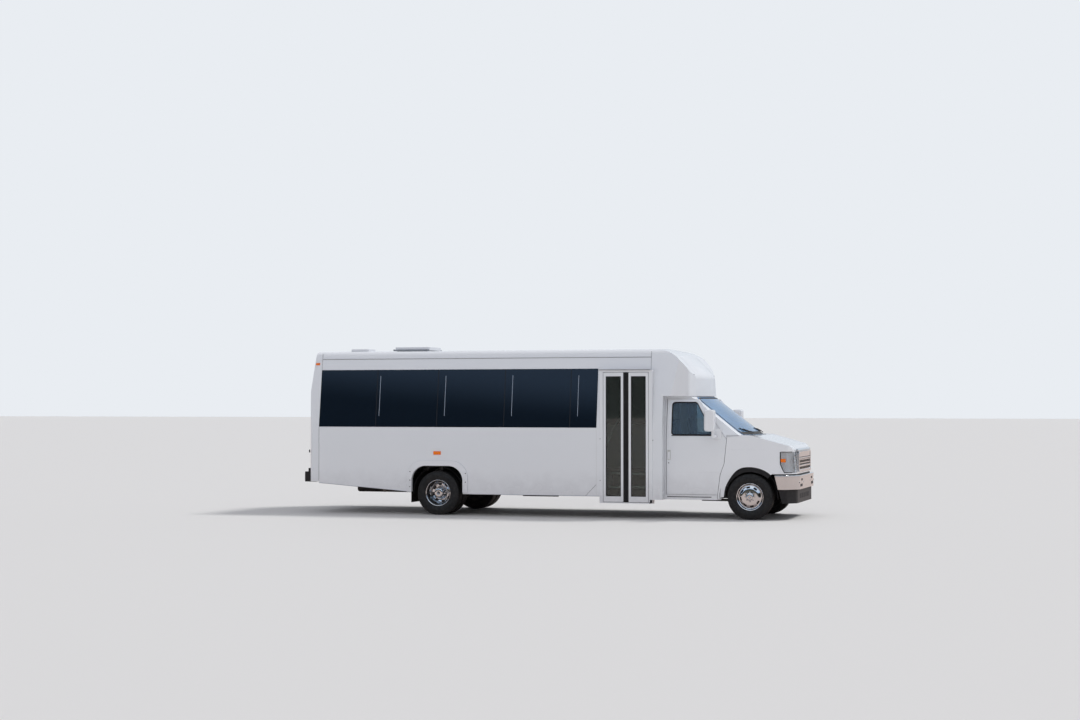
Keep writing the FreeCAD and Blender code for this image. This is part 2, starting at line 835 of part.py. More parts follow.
def front_axle():
    """Two crossed beams with their springs, kingpins and the arms that run back to the frame."""
    body = new_body("front_axle")
    beam_z = S.tyre_radius
    pin = pad(body, "XY", "Kingpin", [polygon(0, S.kingpin_half, S.kingpin_radius)], beam_z - 98, beam_z + 98)
    eye = pad(body, "XY", "BeamEye", [polygon(0, S.kingpin_half, S.kingpin_radius + 14)],
              beam_z - 50, beam_z + 50)
    drop = 70
    pad_beam = pad(body, "YZ", "Beam", [[
        (S.kingpin_half - 15, beam_z + 40),
        (S.kingpin_half - 15, beam_z - 40),
        (S.kingpin_half - 150, beam_z - drop - 45),
        (-60, beam_z - drop - 45),
        (-60, beam_z - drop + 30),
        (S.kingpin_half - 190, beam_z - drop + 30),
    ]], -24, 24)
    tower = pad(body, "XY", "Spring", [polygon(0, 560, 52)], beam_z - drop, S.rail_top_z - 20)
    shelf = pad(body, "XZ", "SpringTower", [box_outline(-75, 75, S.rail_top_z - 60, S.rail_top_z)],
                S.rail_half, 620)
    arm = pad(body, "XY", "RadiusArm",
              [[(-10, 500), (-10, 545), (-900, S.rail_half + 30), (-900, S.rail_half)]],
              beam_z - drop - 30, beam_z - drop + 10)
    hanger = pad(body, "XZ", "ArmHanger",
                 [[(-900, beam_z - drop - 30), (-840, beam_z - drop - 30), (-820, S.rail_bottom_z + 60),
                   (-920, S.rail_bottom_z + 60)]],
                 S.rail_half, S.rail_half + 30)
    mirror(body, [pin, eye, pad_beam, tower, shelf, arm, hanger])


def rear_axle():
    """A tube with its differential, on two leaf springs with their shackles."""
    face = S.outer_twin_half - S.twin_spacing / 2
    tube = faceted("AxleTube", [
        (-face - 3, 0),
        (-face - 3, S.spindle_radius - 2),
        (-face + 60, S.spindle_radius - 2),
        (-face + 90, S.axle_tube_radius),
        (face - 90, S.axle_tube_radius),
        (face - 60, S.spindle_radius - 2),
        (face + 3, S.spindle_radius - 2),
        (face + 3, 0),
    ], BAR_SIDES, OUTWARDS[1], -S.wheelbase, 0, S.tyre_radius)
    differential = faceted("Differential", [
        (-170, 0), (-150, 70), (-70, 150), (70, 150), (190, 60), (230, 45), (230, 0)],
        BAR_SIDES, ALONG, -S.wheelbase, 0, S.tyre_radius)
    springs = new_body("Springs", -S.wheelbase, 0, S.tyre_radius, whole_piece=False)
    drop = S.rail_bottom_z - S.tyre_radius
    spring_half = S.rail_half + 65
    leaves = pad(springs, "XZ", "LeafSpring", [[
        (-760, drop + 30), (-720, drop + 60), (-120, 75), (120, 75), (620, drop + 60), (660, drop + 30),
        (120, 45), (-120, 45)]],
        spring_half - 38, spring_half + 38)
    seat = pad(springs, "XZ", "SpringSeat", [box_outline(-70, 70, 0, 60)], spring_half - 38, spring_half + 38)
    shackle = pad(springs, "XZ", "Shackles", [
        box_outline(-770, -710, drop + 25, drop + 110),
        box_outline(610, 670, drop + 25, drop + 110)],
        S.rail_half, spring_half + 20)
    mirror(springs, [leaves, seat, shackle])
    joined("rear_axle", [tube, differential, springs])


def driveline():
    """The gearbox and the shaft, with a joint at the middle and one at each end."""
    joint = 55
    shaft = 42
    gearbox = -S.engine_back_aft
    pieces.append(faceted("driveline", [
        (gearbox - S.seat_gap, 0),
        (gearbox - S.seat_gap, 165),
        (gearbox - 120, 150),
        (gearbox - 700, 95),
        (gearbox - 900, joint),
        (gearbox - 960, shaft),
        (-2900, shaft),
        (-2930, joint),
        (-3010, joint),
        (-3040, shaft),
        (-S.wheelbase + 340, shaft),
        (-S.wheelbase + 320, joint),
        (-S.wheelbase + 230 + S.seat_gap, joint),
        (-S.wheelbase + 230 + S.seat_gap, 0),
    ], BAR_SIDES, ALONG, 0, 0, S.rail_bottom_z))


def engine():
    body = new_body("engine")
    pad(body, "XZ", "Block", [box_outline(-S.engine_back_aft, S.engine_front_ahead,
                                           S.engine_bottom_z, S.engine_top_z)],
        -S.engine_half, S.engine_half)
    mount = pad(body, "XZ", "EngineFoot", [box_outline(-60, 60, S.rail_bottom_z + 60, S.rail_top_z - 20)],
                S.engine_half, S.rail_half - S.rail_flange - S.seat_gap)
    mirror(body, [mount])


def straight_run(name, start, end, radius, past=0):
    """A bar with flat sides between two points, each given as its x, y and z, and past both by a length."""
    ends = [FreeCAD.Vector(*[as_size(number).value for number in point]) for point in (start, end)]
    onward = (ends[1] - ends[0]).normalize()
    bar = document.addObject("Part::Prism", name)
    bar.Polygon = BAR_SIDES
    bind(bar, "Circumradius", radius)
    bar.Height = ends[0].distanceToPoint(ends[1]) + 2 * as_size(past).value
    bar.Placement.Rotation = FreeCAD.Rotation(FreeCAD.Vector(0, 0, 1), onward)
    place(bar, *[number - past * part for number, part in zip(start, onward)])
    return bar


def bent_bar(name, points, radius):
    """Bars between points in a row, each run far enough past its bends to fill their outer corners."""
    return [straight_run("%sRun%d" % (name, number), start, end, radius, radius * 0.45)
            for number, (start, end) in enumerate(zip(points, points[1:]))]


def joined(label, shapes):
    fuse = document.addObject("Part::MultiFuse", label)
    fuse.Label = label
    fuse.Shapes = shapes
    pieces.append(fuse)
    return fuse


def exhaust():
    """A silencer and its pipe, which climbs over the rear axle and ends behind the rear wheels."""
    lane = -S.exhaust_half
    low = S.exhaust_z
    high = S.exhaust_over_axle_z
    axle = -S.wheelbase
    route = [
        (-S.exhaust_front_aft, lane, low),
        (axle + 520, lane, low),
        (axle + 300, lane, high),
        (axle - 300, lane, high),
        (axle - 560, lane, low),
        (axle - 900, lane, low),
        (axle - 1010, lane - 110, low),
        (axle - 1010, -S.coach_half + 160, low),
    ]
    parts = bent_bar("Exhaust", route, S.pipe_radius)
    parts.append(straight_run("Silencer", (-S.muffler_back_aft, lane, low),
                              (-S.muffler_front_aft, lane, low), S.muffler_radius))
    for name, aft in (("Front", S.muffler_front_aft + 60), ("Back", S.wheelbase + 760)):
        parts.append(straight_run(name + "Hanger", (-aft, lane, low),
                                  (-aft, lane, S.floor_z - S.floor_thick), S.hanger_radius))
    joined("exhaust", parts)


def fuel_tank():
    body = new_body("fuel_tank")
    back = S.tank_front_aft + S.tank_length
    pad(body, "YZ", "Tank", [box_outline(-S.tank_half, S.tank_half, S.tank_bottom_z,
                                         S.rail_top_z - 10, 60)], -back, -S.tank_front_aft)
    strap = pad(body, "YZ", "Strap", [
        box_outline(-S.rail_half + S.rail_web + 2, S.rail_half - S.rail_web - 2,
                    S.rail_bottom_z + S.rail_web + S.seat_gap, S.rail_bottom_z + 45)],
        -back + 200, -back + 240)
    repeat_along(body, strap, "X", S.tank_length - 440, 2)


# Coach body.

def lean_half(level, inset=0):
    """Half of the coach's width at a height, where its sides lean in above the belt."""
    lean = S.wall_lean * (as_size(level) - S.belt_z) / (S.seam_z - S.belt_z)
    return S.coach_half - inset - lean


def coach_outline(inset, bottom):
    """The coach's whole section, drawn in from its outer face by an inset."""
    roof = S.roof_z - inset
    edge = S.roof_edge_z - inset
    return both_sides([
        (S.coach_half - inset, bottom),
        (S.coach_half - inset, S.belt_z),
        (S.coach_half - S.wall_lean - inset, S.seam_z),
        (S.coach_half - S.wall_lean - inset - 20, edge, S.roof_corner - inset / 2),
        (as_size(1), roof),
    ])


def wall_outline(side, bottom):
    wall = S.coach_wall
    return [
        (S.coach_half * side, bottom),
        (S.coach_half * side, S.belt_z),
        ((S.coach_half - S.wall_lean) * side, S.seam_z),
        ((S.coach_half - S.wall_lean - wall) * side, S.seam_z),
        ((S.coach_half - wall) * side, S.belt_z),
        ((S.coach_half - wall) * side, bottom),
    ]


def window_edges(side):
    """The window band's ends and joints, from the back to the front."""
    front = S.band_front_aft if side < 0 else S.left_band_front_aft
    return [S.band_back_aft, S.joint_1_aft, S.joint_2_aft, S.joint_3_aft, S.joint_4_aft, front]


def side_wall(side):
    name = side_name(side)
    body = new_body("side_wall_" + name)
    pad(body, "YZ", "Wall" + name, [wall_outline(side, S.skirt_z)], -S.wall_back_aft, -S.cap_seam_aft)
    edges = window_edges(side)
    rebate = S.glass_thick + S.seat_gap
    band = [
        ((lean_half(S.band_bottom_z) + 20) * side, S.band_bottom_z),
        ((lean_half(S.band_bottom_z) - rebate) * side, S.band_bottom_z),
        ((lean_half(S.band_top_z) - rebate) * side, S.band_top_z),
        ((lean_half(S.band_top_z) + 20) * side, S.band_top_z),
    ]
    pocket(body, "YZ", "GlassRebate" + name, [band], -S.band_back_aft - 1, -edges[-1])
    holes = []
    for back, front in zip(edges, edges[1:]):
        holes.append(box_outline(-back + S.post_half, -front - S.post_half,
                                 S.band_bottom_z + S.post_half, S.band_top_z - S.post_half))
    inside = (S.coach_half - S.overshoot) * side
    outside = (S.coach_half + S.overshoot) * side
    pocket(body, "XZ", "WindowHoles" + name, holes, inside, outside)
    pocket(body, "XZ", "Arch" + name, [arch_outline(S.arch_half_length, S.arch_top_z, S.arch_corner)],
           inside, outside)
    arch_back = S.wheelbase + S.arch_half_length
    pocket(body, "XZ", "SkirtRise" + name, [[
        (-arch_back, S.skirt_z - 50),
        (-arch_back, S.skirt_z + 29),
        (-S.wall_back_aft - 50, S.skirt_z + S.skirt_rise),
        (-S.wall_back_aft - 50, S.skirt_z - 50),
    ]], inside, outside)
    if side < 0:
        pocket(body, "XZ", "EntryHole", [entry_hole()], inside, outside)
    return body


def arch_outline(half, top, corner):
    return [
        (-S.wheelbase - half, S.skirt_z - 60),
        (-S.wheelbase - half, top, corner),
        (-S.wheelbase + half, top, corner),
        (-S.wheelbase + half, S.skirt_z - 60),
    ]


def entry_hole():
    return box_outline(-S.entry_back_aft, -S.entry_front_aft, S.entry_bottom_z - 100, S.entry_top_z)


def side_glass(side):
    """Dark panes that lie in the wall's rebate, one for each window, with open joints between."""
    name = side_name(side)
    body = new_body("side_glass_" + name)
    edges = window_edges(side)
    low = S.band_bottom_z + 2
    high = S.band_top_z - 2
    section = [
        (lean_half(low) * side, low),
        (lean_half(high) * side, high),
        (lean_half(high, S.glass_thick) * side, high),
        (lean_half(low, S.glass_thick) * side, low),
    ]
    pad(body, "YZ", "Panes" + name, [section], -S.band_back_aft + 2, -edges[-1] - 2)
    joints = [
        box_outline(-edge - S.glass_joint / 2, -edge + S.glass_joint / 2, low - 50, high + 50)
        for edge in edges[1:-1]
    ]
    pocket(body, "XZ", "PaneJoints" + name, joints,
           (S.coach_half - S.overshoot) * side, (S.coach_half + S.overshoot) * side)


def roof():
    body = new_body("roof")
    edge = S.coach_half - S.wall_lean
    wall = S.coach_wall
    section = both_sides([
        (edge - wall, S.seam_z),
        (edge, S.seam_z),
        (edge - 20, S.roof_edge_z, S.roof_corner),
        (as_size(1), S.roof_z),
    ])
    inner = both_sides([
        (edge - wall - 15, S.roof_edge_z - wall, S.roof_corner - wall / 2),
        (as_size(1), S.roof_z - wall),
    ])
    pad(body, "YZ", "RoofSkin", [section + list(reversed(inner))], -S.wall_back_aft, -S.cap_seam_aft)
    hatch = box_outline(-S.hatch_back_aft + S.hatch_wall * 2, -S.hatch_front_aft - S.hatch_wall * 2,
                        -S.hatch_half + S.hatch_wall * 2, S.hatch_half - S.hatch_wall * 2)
    pocket(body, "XY", "HatchHole", [hatch], S.roof_z - 200, S.roof_z + 50)
    curb_in = S.hatch_wall * 2
    curb_out = S.hatch_wall + S.shut_gap
    pad(body, "XY", "HatchCurb", [
        box_outline(-S.hatch_back_aft + curb_out, -S.hatch_front_aft - curb_out,
                    -S.hatch_half + curb_out, S.hatch_half - curb_out),
        box_outline(-S.hatch_back_aft + curb_in, -S.hatch_front_aft - curb_in,
                    -S.hatch_half + curb_in, S.hatch_half - curb_in)],
        S.roof_z - 40, S.hatch_top_z - S.hatch_wall - S.seat_gap)
    pad(body, "XY", "RoofVent", [box_outline(-S.vent_back_aft, -S.vent_front_aft, -170, 170, 40)],
        S.roof_z - 30, S.vent_top_z)


def roof_hatch():
    """A shallow lid that drops over the curb of the roof's opening."""
    body = new_body("roof_hatch")
    outer = box_outline(-S.hatch_back_aft, -S.hatch_front_aft, -S.hatch_half, S.hatch_half, 40)
    bottom = S.roof_z + S.shut_gap
    pad(body, "XY", "Lid", [outer], bottom, S.hatch_top_z)
    wall = S.hatch_wall
    pocket(body, "XY", "LidRoom", [box_outline(-S.hatch_back_aft + wall, -S.hatch_front_aft - wall,
                                               -S.hatch_half + wall, S.hatch_half - wall)],
           bottom - 5, S.hatch_top_z - wall)


def rear_cap():
    body = new_body("rear_cap")
    back = -S.rear_face_aft
    front = -S.wall_back_aft
    wall = S.coach_wall
    pad(body, "YZ", "RearShell", [coach_outline(as_size(0), S.rear_bottom_z)], back, front)
    trim(body, "XY", "RearPlan", [
        (back, -S.coach_half, S.rear_corner),
        (front + S.overshoot, -S.coach_half),
        (front + S.overshoot, S.coach_half),
        (back, S.coach_half, S.rear_corner),
    ], S.rear_face_aft + S.overshoot, S.rear_bottom_z - 50, S.roof_z + 50)
    pocket(body, "XZ", "RearSlope", [[
        (back - 50, S.rear_slope_z),
        (back, S.rear_slope_z),
        (-S.rear_top_aft, S.roof_z + 30),
        (back - 50, S.roof_z + 30),
    ]], -S.coach_half - 50, S.coach_half + 50)
    room = document.addObject("PartDesign::Body", "RearRoom")
    pad(room, "YZ", "RearRoomSection", [coach_outline(wall, S.rear_bottom_z - 50)], back - 50, front + 50)
    pocket(room, "XZ", "RearRoomSlope", [[
        (back - 60, S.rear_bottom_z - 60),
        (back + wall, S.rear_bottom_z - 60),
        (back + wall, S.rear_slope_z),
        (-S.rear_top_aft + wall, S.roof_z + 30),
        (back - 60, S.roof_z + 30),
    ]], -S.coach_half - 50, S.coach_half + 50)
    cut_away(body, room)
    gap = S.shut_gap
    lap = S.door_lap
    door_face = back + S.leaf_thick + S.seat_gap
    pocket(body, "YZ", "RearDoorway", [
        box_outline(-S.rear_door_half - gap, S.rear_door_half + gap,
                    S.rear_door_bottom_z - gap, S.rear_door_top_z + gap)], back - 50, door_face)
    pocket(body, "YZ", "RearDoorHole", [
        box_outline(-S.rear_door_half + lap, S.rear_door_half - lap,
                    S.rear_door_bottom_z + lap, S.rear_door_top_z - lap)], back - 50, back + wall + 50)


def rear_door():
    body = new_body("rear_door")
    back = -S.rear_face_aft
    pad(body, "YZ", "RearLeaf", [
        box_outline(-S.rear_door_half, S.rear_door_half, S.rear_door_bottom_z, S.rear_door_top_z),
        box_outline(-S.rear_window_half, S.rear_window_half, S.rear_window_bottom_z,
                    S.rear_window_top_z, S.window_corner)],
        back, back + S.leaf_thick)
    pad(body, "YZ", "RearHandle", [box_outline(200, 360, 1180, 1225, 10)], back - 30, back)
    glass = new_body("rear_door_glass")
    snug = S.seat_gap
    pad(glass, "YZ", "RearPane", [
        box_outline(-S.rear_window_half + snug, S.rear_window_half - snug,
                    S.rear_window_bottom_z + snug, S.rear_window_top_z - snug, S.window_corner)],
        back + 15, back + 15 + S.glass_thick)


def cap_plan():
    """The front cap seen from above narrows from the coach to the cab."""
    return [
        (-S.cap_seam_aft - S.overshoot, -S.coach_half),
        (-S.bulkhead_aft - 30, -S.coach_half, 120),
        (-S.cap_corner_aft, -S.cap_corner_half, 140),
        (-S.cap_front_aft, -S.cap_nose_half, 260),
        (-S.cap_front_aft, S.cap_nose_half, 260),
        (-S.cap_corner_aft, S.cap_corner_half, 140),
        (-S.bulkhead_aft - 30, S.coach_half, 120),
        (-S.cap_seam_aft - S.overshoot, S.coach_half),
    ]


def front_cap():
    """The moulded brow over the cab, with the posts that carry it down to the skirt."""
    body = new_body("front_cap")
    seam = -S.cap_seam_aft
    face = -S.bulkhead_aft
    pad(body, "XZ", "CapSide", [[
        (seam, S.roof_z + 10),
        (-S.cap_rise_aft, S.cap_rise_z, 700),
        (-S.cap_crown_aft, S.cap_crown_z, 320),
        (-S.cap_brow_aft, S.cap_brow_z, 130),
        (-S.cap_front_aft, S.cap_under_z),
        (face, S.cap_under_z),
        (face, S.rocker_z),
        (seam, S.rocker_z),
    ]], -S.coach_half, S.coach_half)
    trim(body, "XY", "CapPlan", cap_plan(), S.coach_half + S.cap_seam_aft, S.rocker_z - 20, S.roof_z + 30)
    trim(body, "YZ", "CapSection", coach_outline(as_size(0), S.rocker_z - 50),
         S.roof_z + S.overshoot, seam - 20, -S.cap_front_aft + 50)
    wall = S.cap_wall
    pocket(body, "YZ", "PostRoom", [coach_outline(wall, S.rocker_z - 60)],
           seam - 50, face - S.bulkhead_thick)
    pocket(body, "YZ", "Passage", [
        box_outline(-S.bulkhead_open_half, S.bulkhead_open_half,
                    S.rocker_z - 60, S.cap_under_z - wall)],
        seam - 50, face + 50)
    pocket(body, "XZ", "BrowShelf", [[
        (seam - 20, S.cap_under_z + wall),
        (-S.cap_front_aft - wall - 30, S.cap_under_z + wall),
        (-S.cap_brow_aft - wall - 20, S.cap_brow_z - 30),
        (-S.cap_crown_aft - 20, S.cap_crown_z - wall - 20),
        (-S.cap_rise_aft, S.cap_rise_z - wall - 30),
        (seam - 20, S.roof_z - wall - 60),
    ]], -S.cap_nose_half, S.cap_nose_half)
    pocket(body, "XZ", "EntryHoleFront", [entry_hole()],
           -(S.coach_half - S.overshoot), -(S.coach_half + S.overshoot))


def coach_floor():
    body = new_body("coach_floor")
    half = S.coach_half - S.coach_wall
    low = S.floor_z - S.floor_thick
    front = -S.bulkhead_aft - S.bulkhead_thick
    back = -S.rear_face_aft + S.coach_wall
    pad(body, "XY", "FloorDeck", [box_outline(back, front, -half, half)], low, S.floor_z)
    house = S.arch_half_length
    middle = -S.wheelbase
    sheet_wall = S.sheet_thick
    solid = pad(body, "XZ", "Wheelhouse", [
        box_outline(middle - house - sheet_wall, middle + house + sheet_wall, low, S.wheelhouse_top_z)],
        S.wheelhouse_inner_half - sheet_wall, half)
    mirror(body, [solid])
    room = pocket(body, "XZ", "WheelRoom", [
        box_outline(middle - house, middle + house, low - 20, S.wheelhouse_top_z - sheet_wall)],
        S.wheelhouse_inner_half, half + 20)
    mirror(body, [room])
    well = box_outline(-S.entry_back_aft + S.entry_jamb, -S.entry_front_aft - S.entry_jamb,
                       -half - 20, -half + S.step_run * 2 + 10)
    pocket(body, "XY", "StepHole", [well], low - 20, S.floor_z + 20)
    frame_back = -(S.coach_half + S.entry_out) + S.entry_depth
    pocket(body, "XY", "EntryNotch", [
        box_outline(-S.entry_back_aft, -S.entry_front_aft, -half - 20, frame_back)],
        low - 20, S.floor_z + 20)


def stepwell():
    """Two steps up from the doorway to the floor, closed at both ends."""
    body = new_body("stepwell")
    outer = -(S.coach_half + S.entry_out) + S.leaf_thick + S.sheet_thick + S.seat_gap * 2
    first = outer + S.step_run
    second = outer + S.step_run * 2
    thick = S.step_thick
    under = S.floor_z - S.floor_thick
    back = -S.entry_back_aft + S.entry_jamb
    front = -S.entry_front_aft - S.entry_jamb
    pad(body, "YZ", "Steps", [[
        (outer, S.step_1_z - thick),
        (first + thick, S.step_1_z - thick),
        (first + thick, S.step_2_z - thick),
        (second, S.step_2_z - thick),
        (second, S.floor_z - thick / 2),
        (second - thick, S.floor_z - thick / 2),
        (second - thick, S.step_2_z),
        (first, S.step_2_z),
        (first, S.step_1_z),
        (outer, S.step_1_z),
    ]], back + thick, front - thick)
    cheeks = [
        (outer, S.step_1_z - thick),
        (first + thick, S.step_1_z - thick),
        (first + thick, S.step_2_z - thick),
        (second, S.step_2_z - thick),
        (second, under),
        (outer, under),
    ]
    pad(body, "YZ", "BackCheek", [cheeks], back, back + thick)
    pad(body, "YZ", "FrontCheek", [cheeks], front - thick, front)


def entry_frame():
    """An upright aluminium frame that stands out of the leaning wall towards its top."""
    body = new_body("entry_frame")
    face = -(S.coach_half + S.entry_out)
    back = face + S.entry_depth
    outer = box_outline(-S.entry_back_aft, -S.entry_front_aft, S.entry_bottom_z, S.entry_top_z)
    hole = box_outline(-S.entry_back_aft + S.entry_jamb, -S.entry_front_aft - S.entry_jamb,
                       S.step_1_z - S.step_thick, S.entry_top_z - S.entry_head)
    pad(body, "XZ", "Portal", [outer, hole], face, back)
    leaf_room = face + S.leaf_thick + S.seat_gap
    lap = S.door_lap
    seats = box_outline(-S.entry_back_aft + S.entry_jamb + lap, -S.entry_front_aft - S.entry_jamb - lap,
                        S.step_1_z, S.entry_top_z - S.entry_head - lap)
    pad(body, "XZ", "DoorSeat", [hole, seats], leaf_room, leaf_room + S.sheet_thick)


def entry_leaf(label, hinge_aft, meeting_aft, glass_label):
    """One glazed leaf of the entry door, with its half of the rubber seal in the middle."""
    face = -(S.coach_half + S.entry_out)
    back = face + S.leaf_thick
    low = S.step_1_z - S.step_thick + S.shut_gap
    high = S.entry_top_z - S.entry_head - S.shut_gap
    direction = 1 if meeting_aft.value > hinge_aft.value else -1
    frame_end = meeting_aft - S.leaf_seal * direction
    body = new_body(label)
    ends = sorted((-hinge_aft, -frame_end), key=lambda end: end.value)
    rail = S.leaf_frame
    opening = box_outline(ends[0] + rail, ends[1] - rail, low + S.leaf_bottom_rail, high - rail - 20, 25)
    pad(body, "XZ", label + "Frame", [box_outline(ends[0], ends[1], low, high), opening], face, back)
    pad(body, "XZ", label + "Seal", [box_outline(*sorted((-frame_end, -meeting_aft), key=lambda e: e.value),
                                                 low + 5, high - 5)], face + 8, back - 8)
    glass = new_body(glass_label)
    snug = S.seat_gap
    pane = box_outline(ends[0] + rail + snug, ends[1] - rail - snug,
                       low + S.leaf_bottom_rail + snug, high - rail - 20 - snug, 25)
    pad(glass, "XZ", label + "Pane", [pane], face + 16, face + 16 + S.glass_thick)


def wheel_flares():
    body = new_body("wheel_flares")
    outer = arch_outline(S.arch_half_length + S.flare_width, S.arch_top_z + S.flare_width,
                         S.arch_corner + S.flare_width / 2)
    inner = arch_outline(S.arch_half_length, S.arch_top_z, S.arch_corner)
    for corners in (outer, inner):
        corners[0] = (corners[0][0], S.skirt_z + 25)
        corners[-1] = (corners[-1][0], S.skirt_z + 25)
    for side in (1, -1):
        pad(body, "XZ", "Flare" + side_name(side), [outer + list(reversed(inner))],
            S.coach_half * side, (S.coach_half + S.flare_out) * side)


def mud_flaps():
    body = new_body("mud_flaps")
    back = -S.wheelbase - S.arch_half_length - S.sheet_thick
    for side in (1, -1):
        pad(body, "YZ", "Flap" + side_name(side), [
            box_outline(*sorted((as_size(700 * side), (S.coach_half - S.coach_wall - 10) * side),
                                key=lambda end: end.value), 205, S.floor_z - S.floor_thick)],
            back - 10, back)


# Cab.

def cab_outline(inset, bottom, top):
    lean = S.cab_lean * (as_size(top) - S.cab_belt_z) / (S.cap_under_z - S.cab_belt_z)
    return both_sides([
        (S.cab_half - inset, bottom),
        (S.cab_half - inset, S.cab_belt_z),
        (S.cab_half - inset - lean, top),
    ])


def screen_base(setback):
    """The bowed line of the windshield's foot seen from above, moved back by a setback."""
    tip = S.screen_base_ahead - setback
    edge = tip - S.screen_base_rake * S.coach_half
    return edge, tip


def door_outline(grow, grow_back):
    """The cab door's outline seen from its side, grown by one gap all round and one at its back."""
    return [
        (-S.door_back_aft - grow_back, S.door_bottom_z - grow),
        (-S.door_toe_aft + grow, S.door_bottom_z - grow),
        (-S.door_knee_aft + grow, S.door_knee_z),
        (-S.door_waist_aft + grow, S.door_waist_z),
        (-S.door_belt_aft + grow, S.cab_belt_z),
        (-S.door_head_aft + grow, S.door_top_z + grow),
        (-S.door_back_aft - grow_back, S.door_top_z + grow),
    ]


def door_slab(body, name, side, deep, proud, grow, grow_back):
    """A slab that follows the cab's side from a depth to a height proud of it, cut to the door."""
    top = S.door_top_z + S.door_lap
    lean = S.cab_lean * (top - S.cab_belt_z) / (S.cap_under_z - S.cab_belt_z)
    low = S.door_bottom_z - S.door_lap
    section = [
        ((S.cab_half + proud) * side, low),
        ((S.cab_half + proud) * side, S.cab_belt_z),
        ((S.cab_half - lean + proud) * side, top),
        ((S.cab_half - lean - deep) * side, top),
        ((S.cab_half - deep) * side, S.cab_belt_z),
        ((S.cab_half - deep) * side, low),
    ]
    pad(body, "YZ", name + "Slab", [section], -S.door_back_aft - S.door_lap, -S.door_belt_aft + S.door_lap)
    trim(body, "XZ", name + "Edge", door_outline(grow, grow_back), S.roof_z,
         (S.cab_half - S.overshoot) * side, (S.cab_half + S.overshoot) * side)


def cab_shell():
    body = new_body("cab_shell")
    back = -S.bulkhead_aft
    front = -S.firewall_aft
    floor_low = S.cab_floor_z - 40
    pad(body, "YZ", "CabHull", [cab_outline(as_size(0), S.rocker_z, S.cap_under_z)], back, front)
    pocket(body, "YZ", "CabRoom", [cab_outline(S.cab_wall, S.cab_floor_z, S.cap_under_z - S.cab_roof)],
           back - 20, front - S.firewall_thick)
    pocket(body, "YZ", "UnderCab", [
        box_outline(-S.cab_half + S.rocker_width, S.cab_half - S.rocker_width,
                    S.rocker_z - 50, floor_low)], back - 20, front + 20)
    for side in (1, -1):
        name = side_name(side)
        inner = S.wheel_pocket_half * side
        outer = (S.cab_half + 20) * side
        pocket(body, "XZ", "WheelPocket" + name, [
            box_outline(-S.wheel_pocket_aft, front + 20, S.rocker_z - 20, S.wheel_pocket_z)],
            inner, outer)
        pad(body, "XZ", "WheelBox" + name, [[
            (-S.wheel_pocket_aft - S.sheet_thick, floor_low),
            (-S.wheel_pocket_aft - S.sheet_thick, S.wheel_pocket_z + S.sheet_thick),
            (front, S.wheel_pocket_z + S.sheet_thick),
            (front, S.wheel_pocket_z),
            (-S.wheel_pocket_aft, S.wheel_pocket_z),
            (-S.wheel_pocket_aft, floor_low),
        ]], inner, (S.cab_half - S.cab_wall) * side)
        pad(body, "XZ", "WheelCheek" + name, [
            box_outline(-S.wheel_pocket_aft - S.sheet_thick, front, floor_low,
                        S.wheel_pocket_z + S.sheet_thick)],
            inner, inner - S.sheet_thick * side)
        pocket(body, "XZ", "FenderSeat" + name, [[
            (-S.door_toe_aft, S.rocker_z - 20),
            (-S.door_toe_aft, S.door_bottom_z),
            (-S.door_knee_aft, S.door_knee_z),
            (-S.door_waist_aft, S.door_waist_z),
            (-S.door_belt_aft, S.cab_belt_z),
            (-S.door_belt_aft, S.cowl_z),
            (front + 20, S.cowl_z),
            (front + 20, S.rocker_z - 20),
        ]], (S.cab_half - S.fender_wall - S.seat_gap) * side, outer)
    doghouse = S.engine_half + 60 - S.sheet_thick
    pocket(body, "XZ", "EngineHole", [
        box_outline(-S.engine_back_aft - 110, front + 20, floor_low - 20, S.engine_top_z + 30)],
        -doghouse, doghouse)
    run = S.screen_base_ahead + S.screen_top_aft
    rise = S.screen_top_z - S.cowl_z
    edge, tip = screen_base(as_size(0))
    inner_edge, inner_tip = screen_base(S.screen_wall)
    reach = S.coach_half
    low = S.cowl_z
    proud_edge, proud_tip = screen_base(-S.glass_thick)
    frame = pad(body, "XY", "ScreenFrame", [[
        (proud_edge, -reach), (proud_tip, 0, S.screen_radius), (proud_edge, reach),
        (inner_edge, reach), (inner_tip, 0, S.screen_radius), (inner_edge, -reach)]],
        low, low + rise + 20)
    slanted(frame, run, rise)
    trim(body, "YZ", "CabSection", cab_outline(as_size(0), S.rocker_z, S.cap_under_z),
         S.roof_z, back - 10, front + S.coach_half)
    ahead = pocket(body, "XY", "AheadOfScreen", [[
        (edge, -reach), (tip, 0, S.screen_radius), (edge, reach),
        (tip + reach, reach), (tip + reach, -reach)]],
        low, low + rise + 60)
    slanted(ahead, run, rise)
    ahead.Direction = ahead.Direction * -1
    ahead.Reversed = True
    pocket(body, "YZ", "ScreenHole", [screen_outline(S.screen_frame)],
           -S.screen_top_aft - 200, front + S.coach_half)
    for side in (1, -1):
        name = side_name(side)
        deep = S.cab_lean + S.cab_wall + 20
        pocket(body, "XZ", "Doorway" + name, [door_outline(-S.door_lap, -S.door_lap)],
               (S.cab_half - deep) * side, (S.cab_half + 20) * side)
        rebate = document.addObject("PartDesign::Body", "DoorRebate" + name)
        door_slab(rebate, "DoorRebate" + name, side, S.door_thick + S.seat_gap, S.coach_wall,
                  S.shut_gap, S.latch_gap)
        cut_away(body, rebate)


def screen_outline(inset):
    """The windshield seen from the front, drawn in from its edge by an inset."""
    return both_sides([
        (S.screen_base_half - inset, S.cowl_z + inset, 60),
        (S.screen_top_half - inset, S.screen_top_z - inset, 60),
    ])


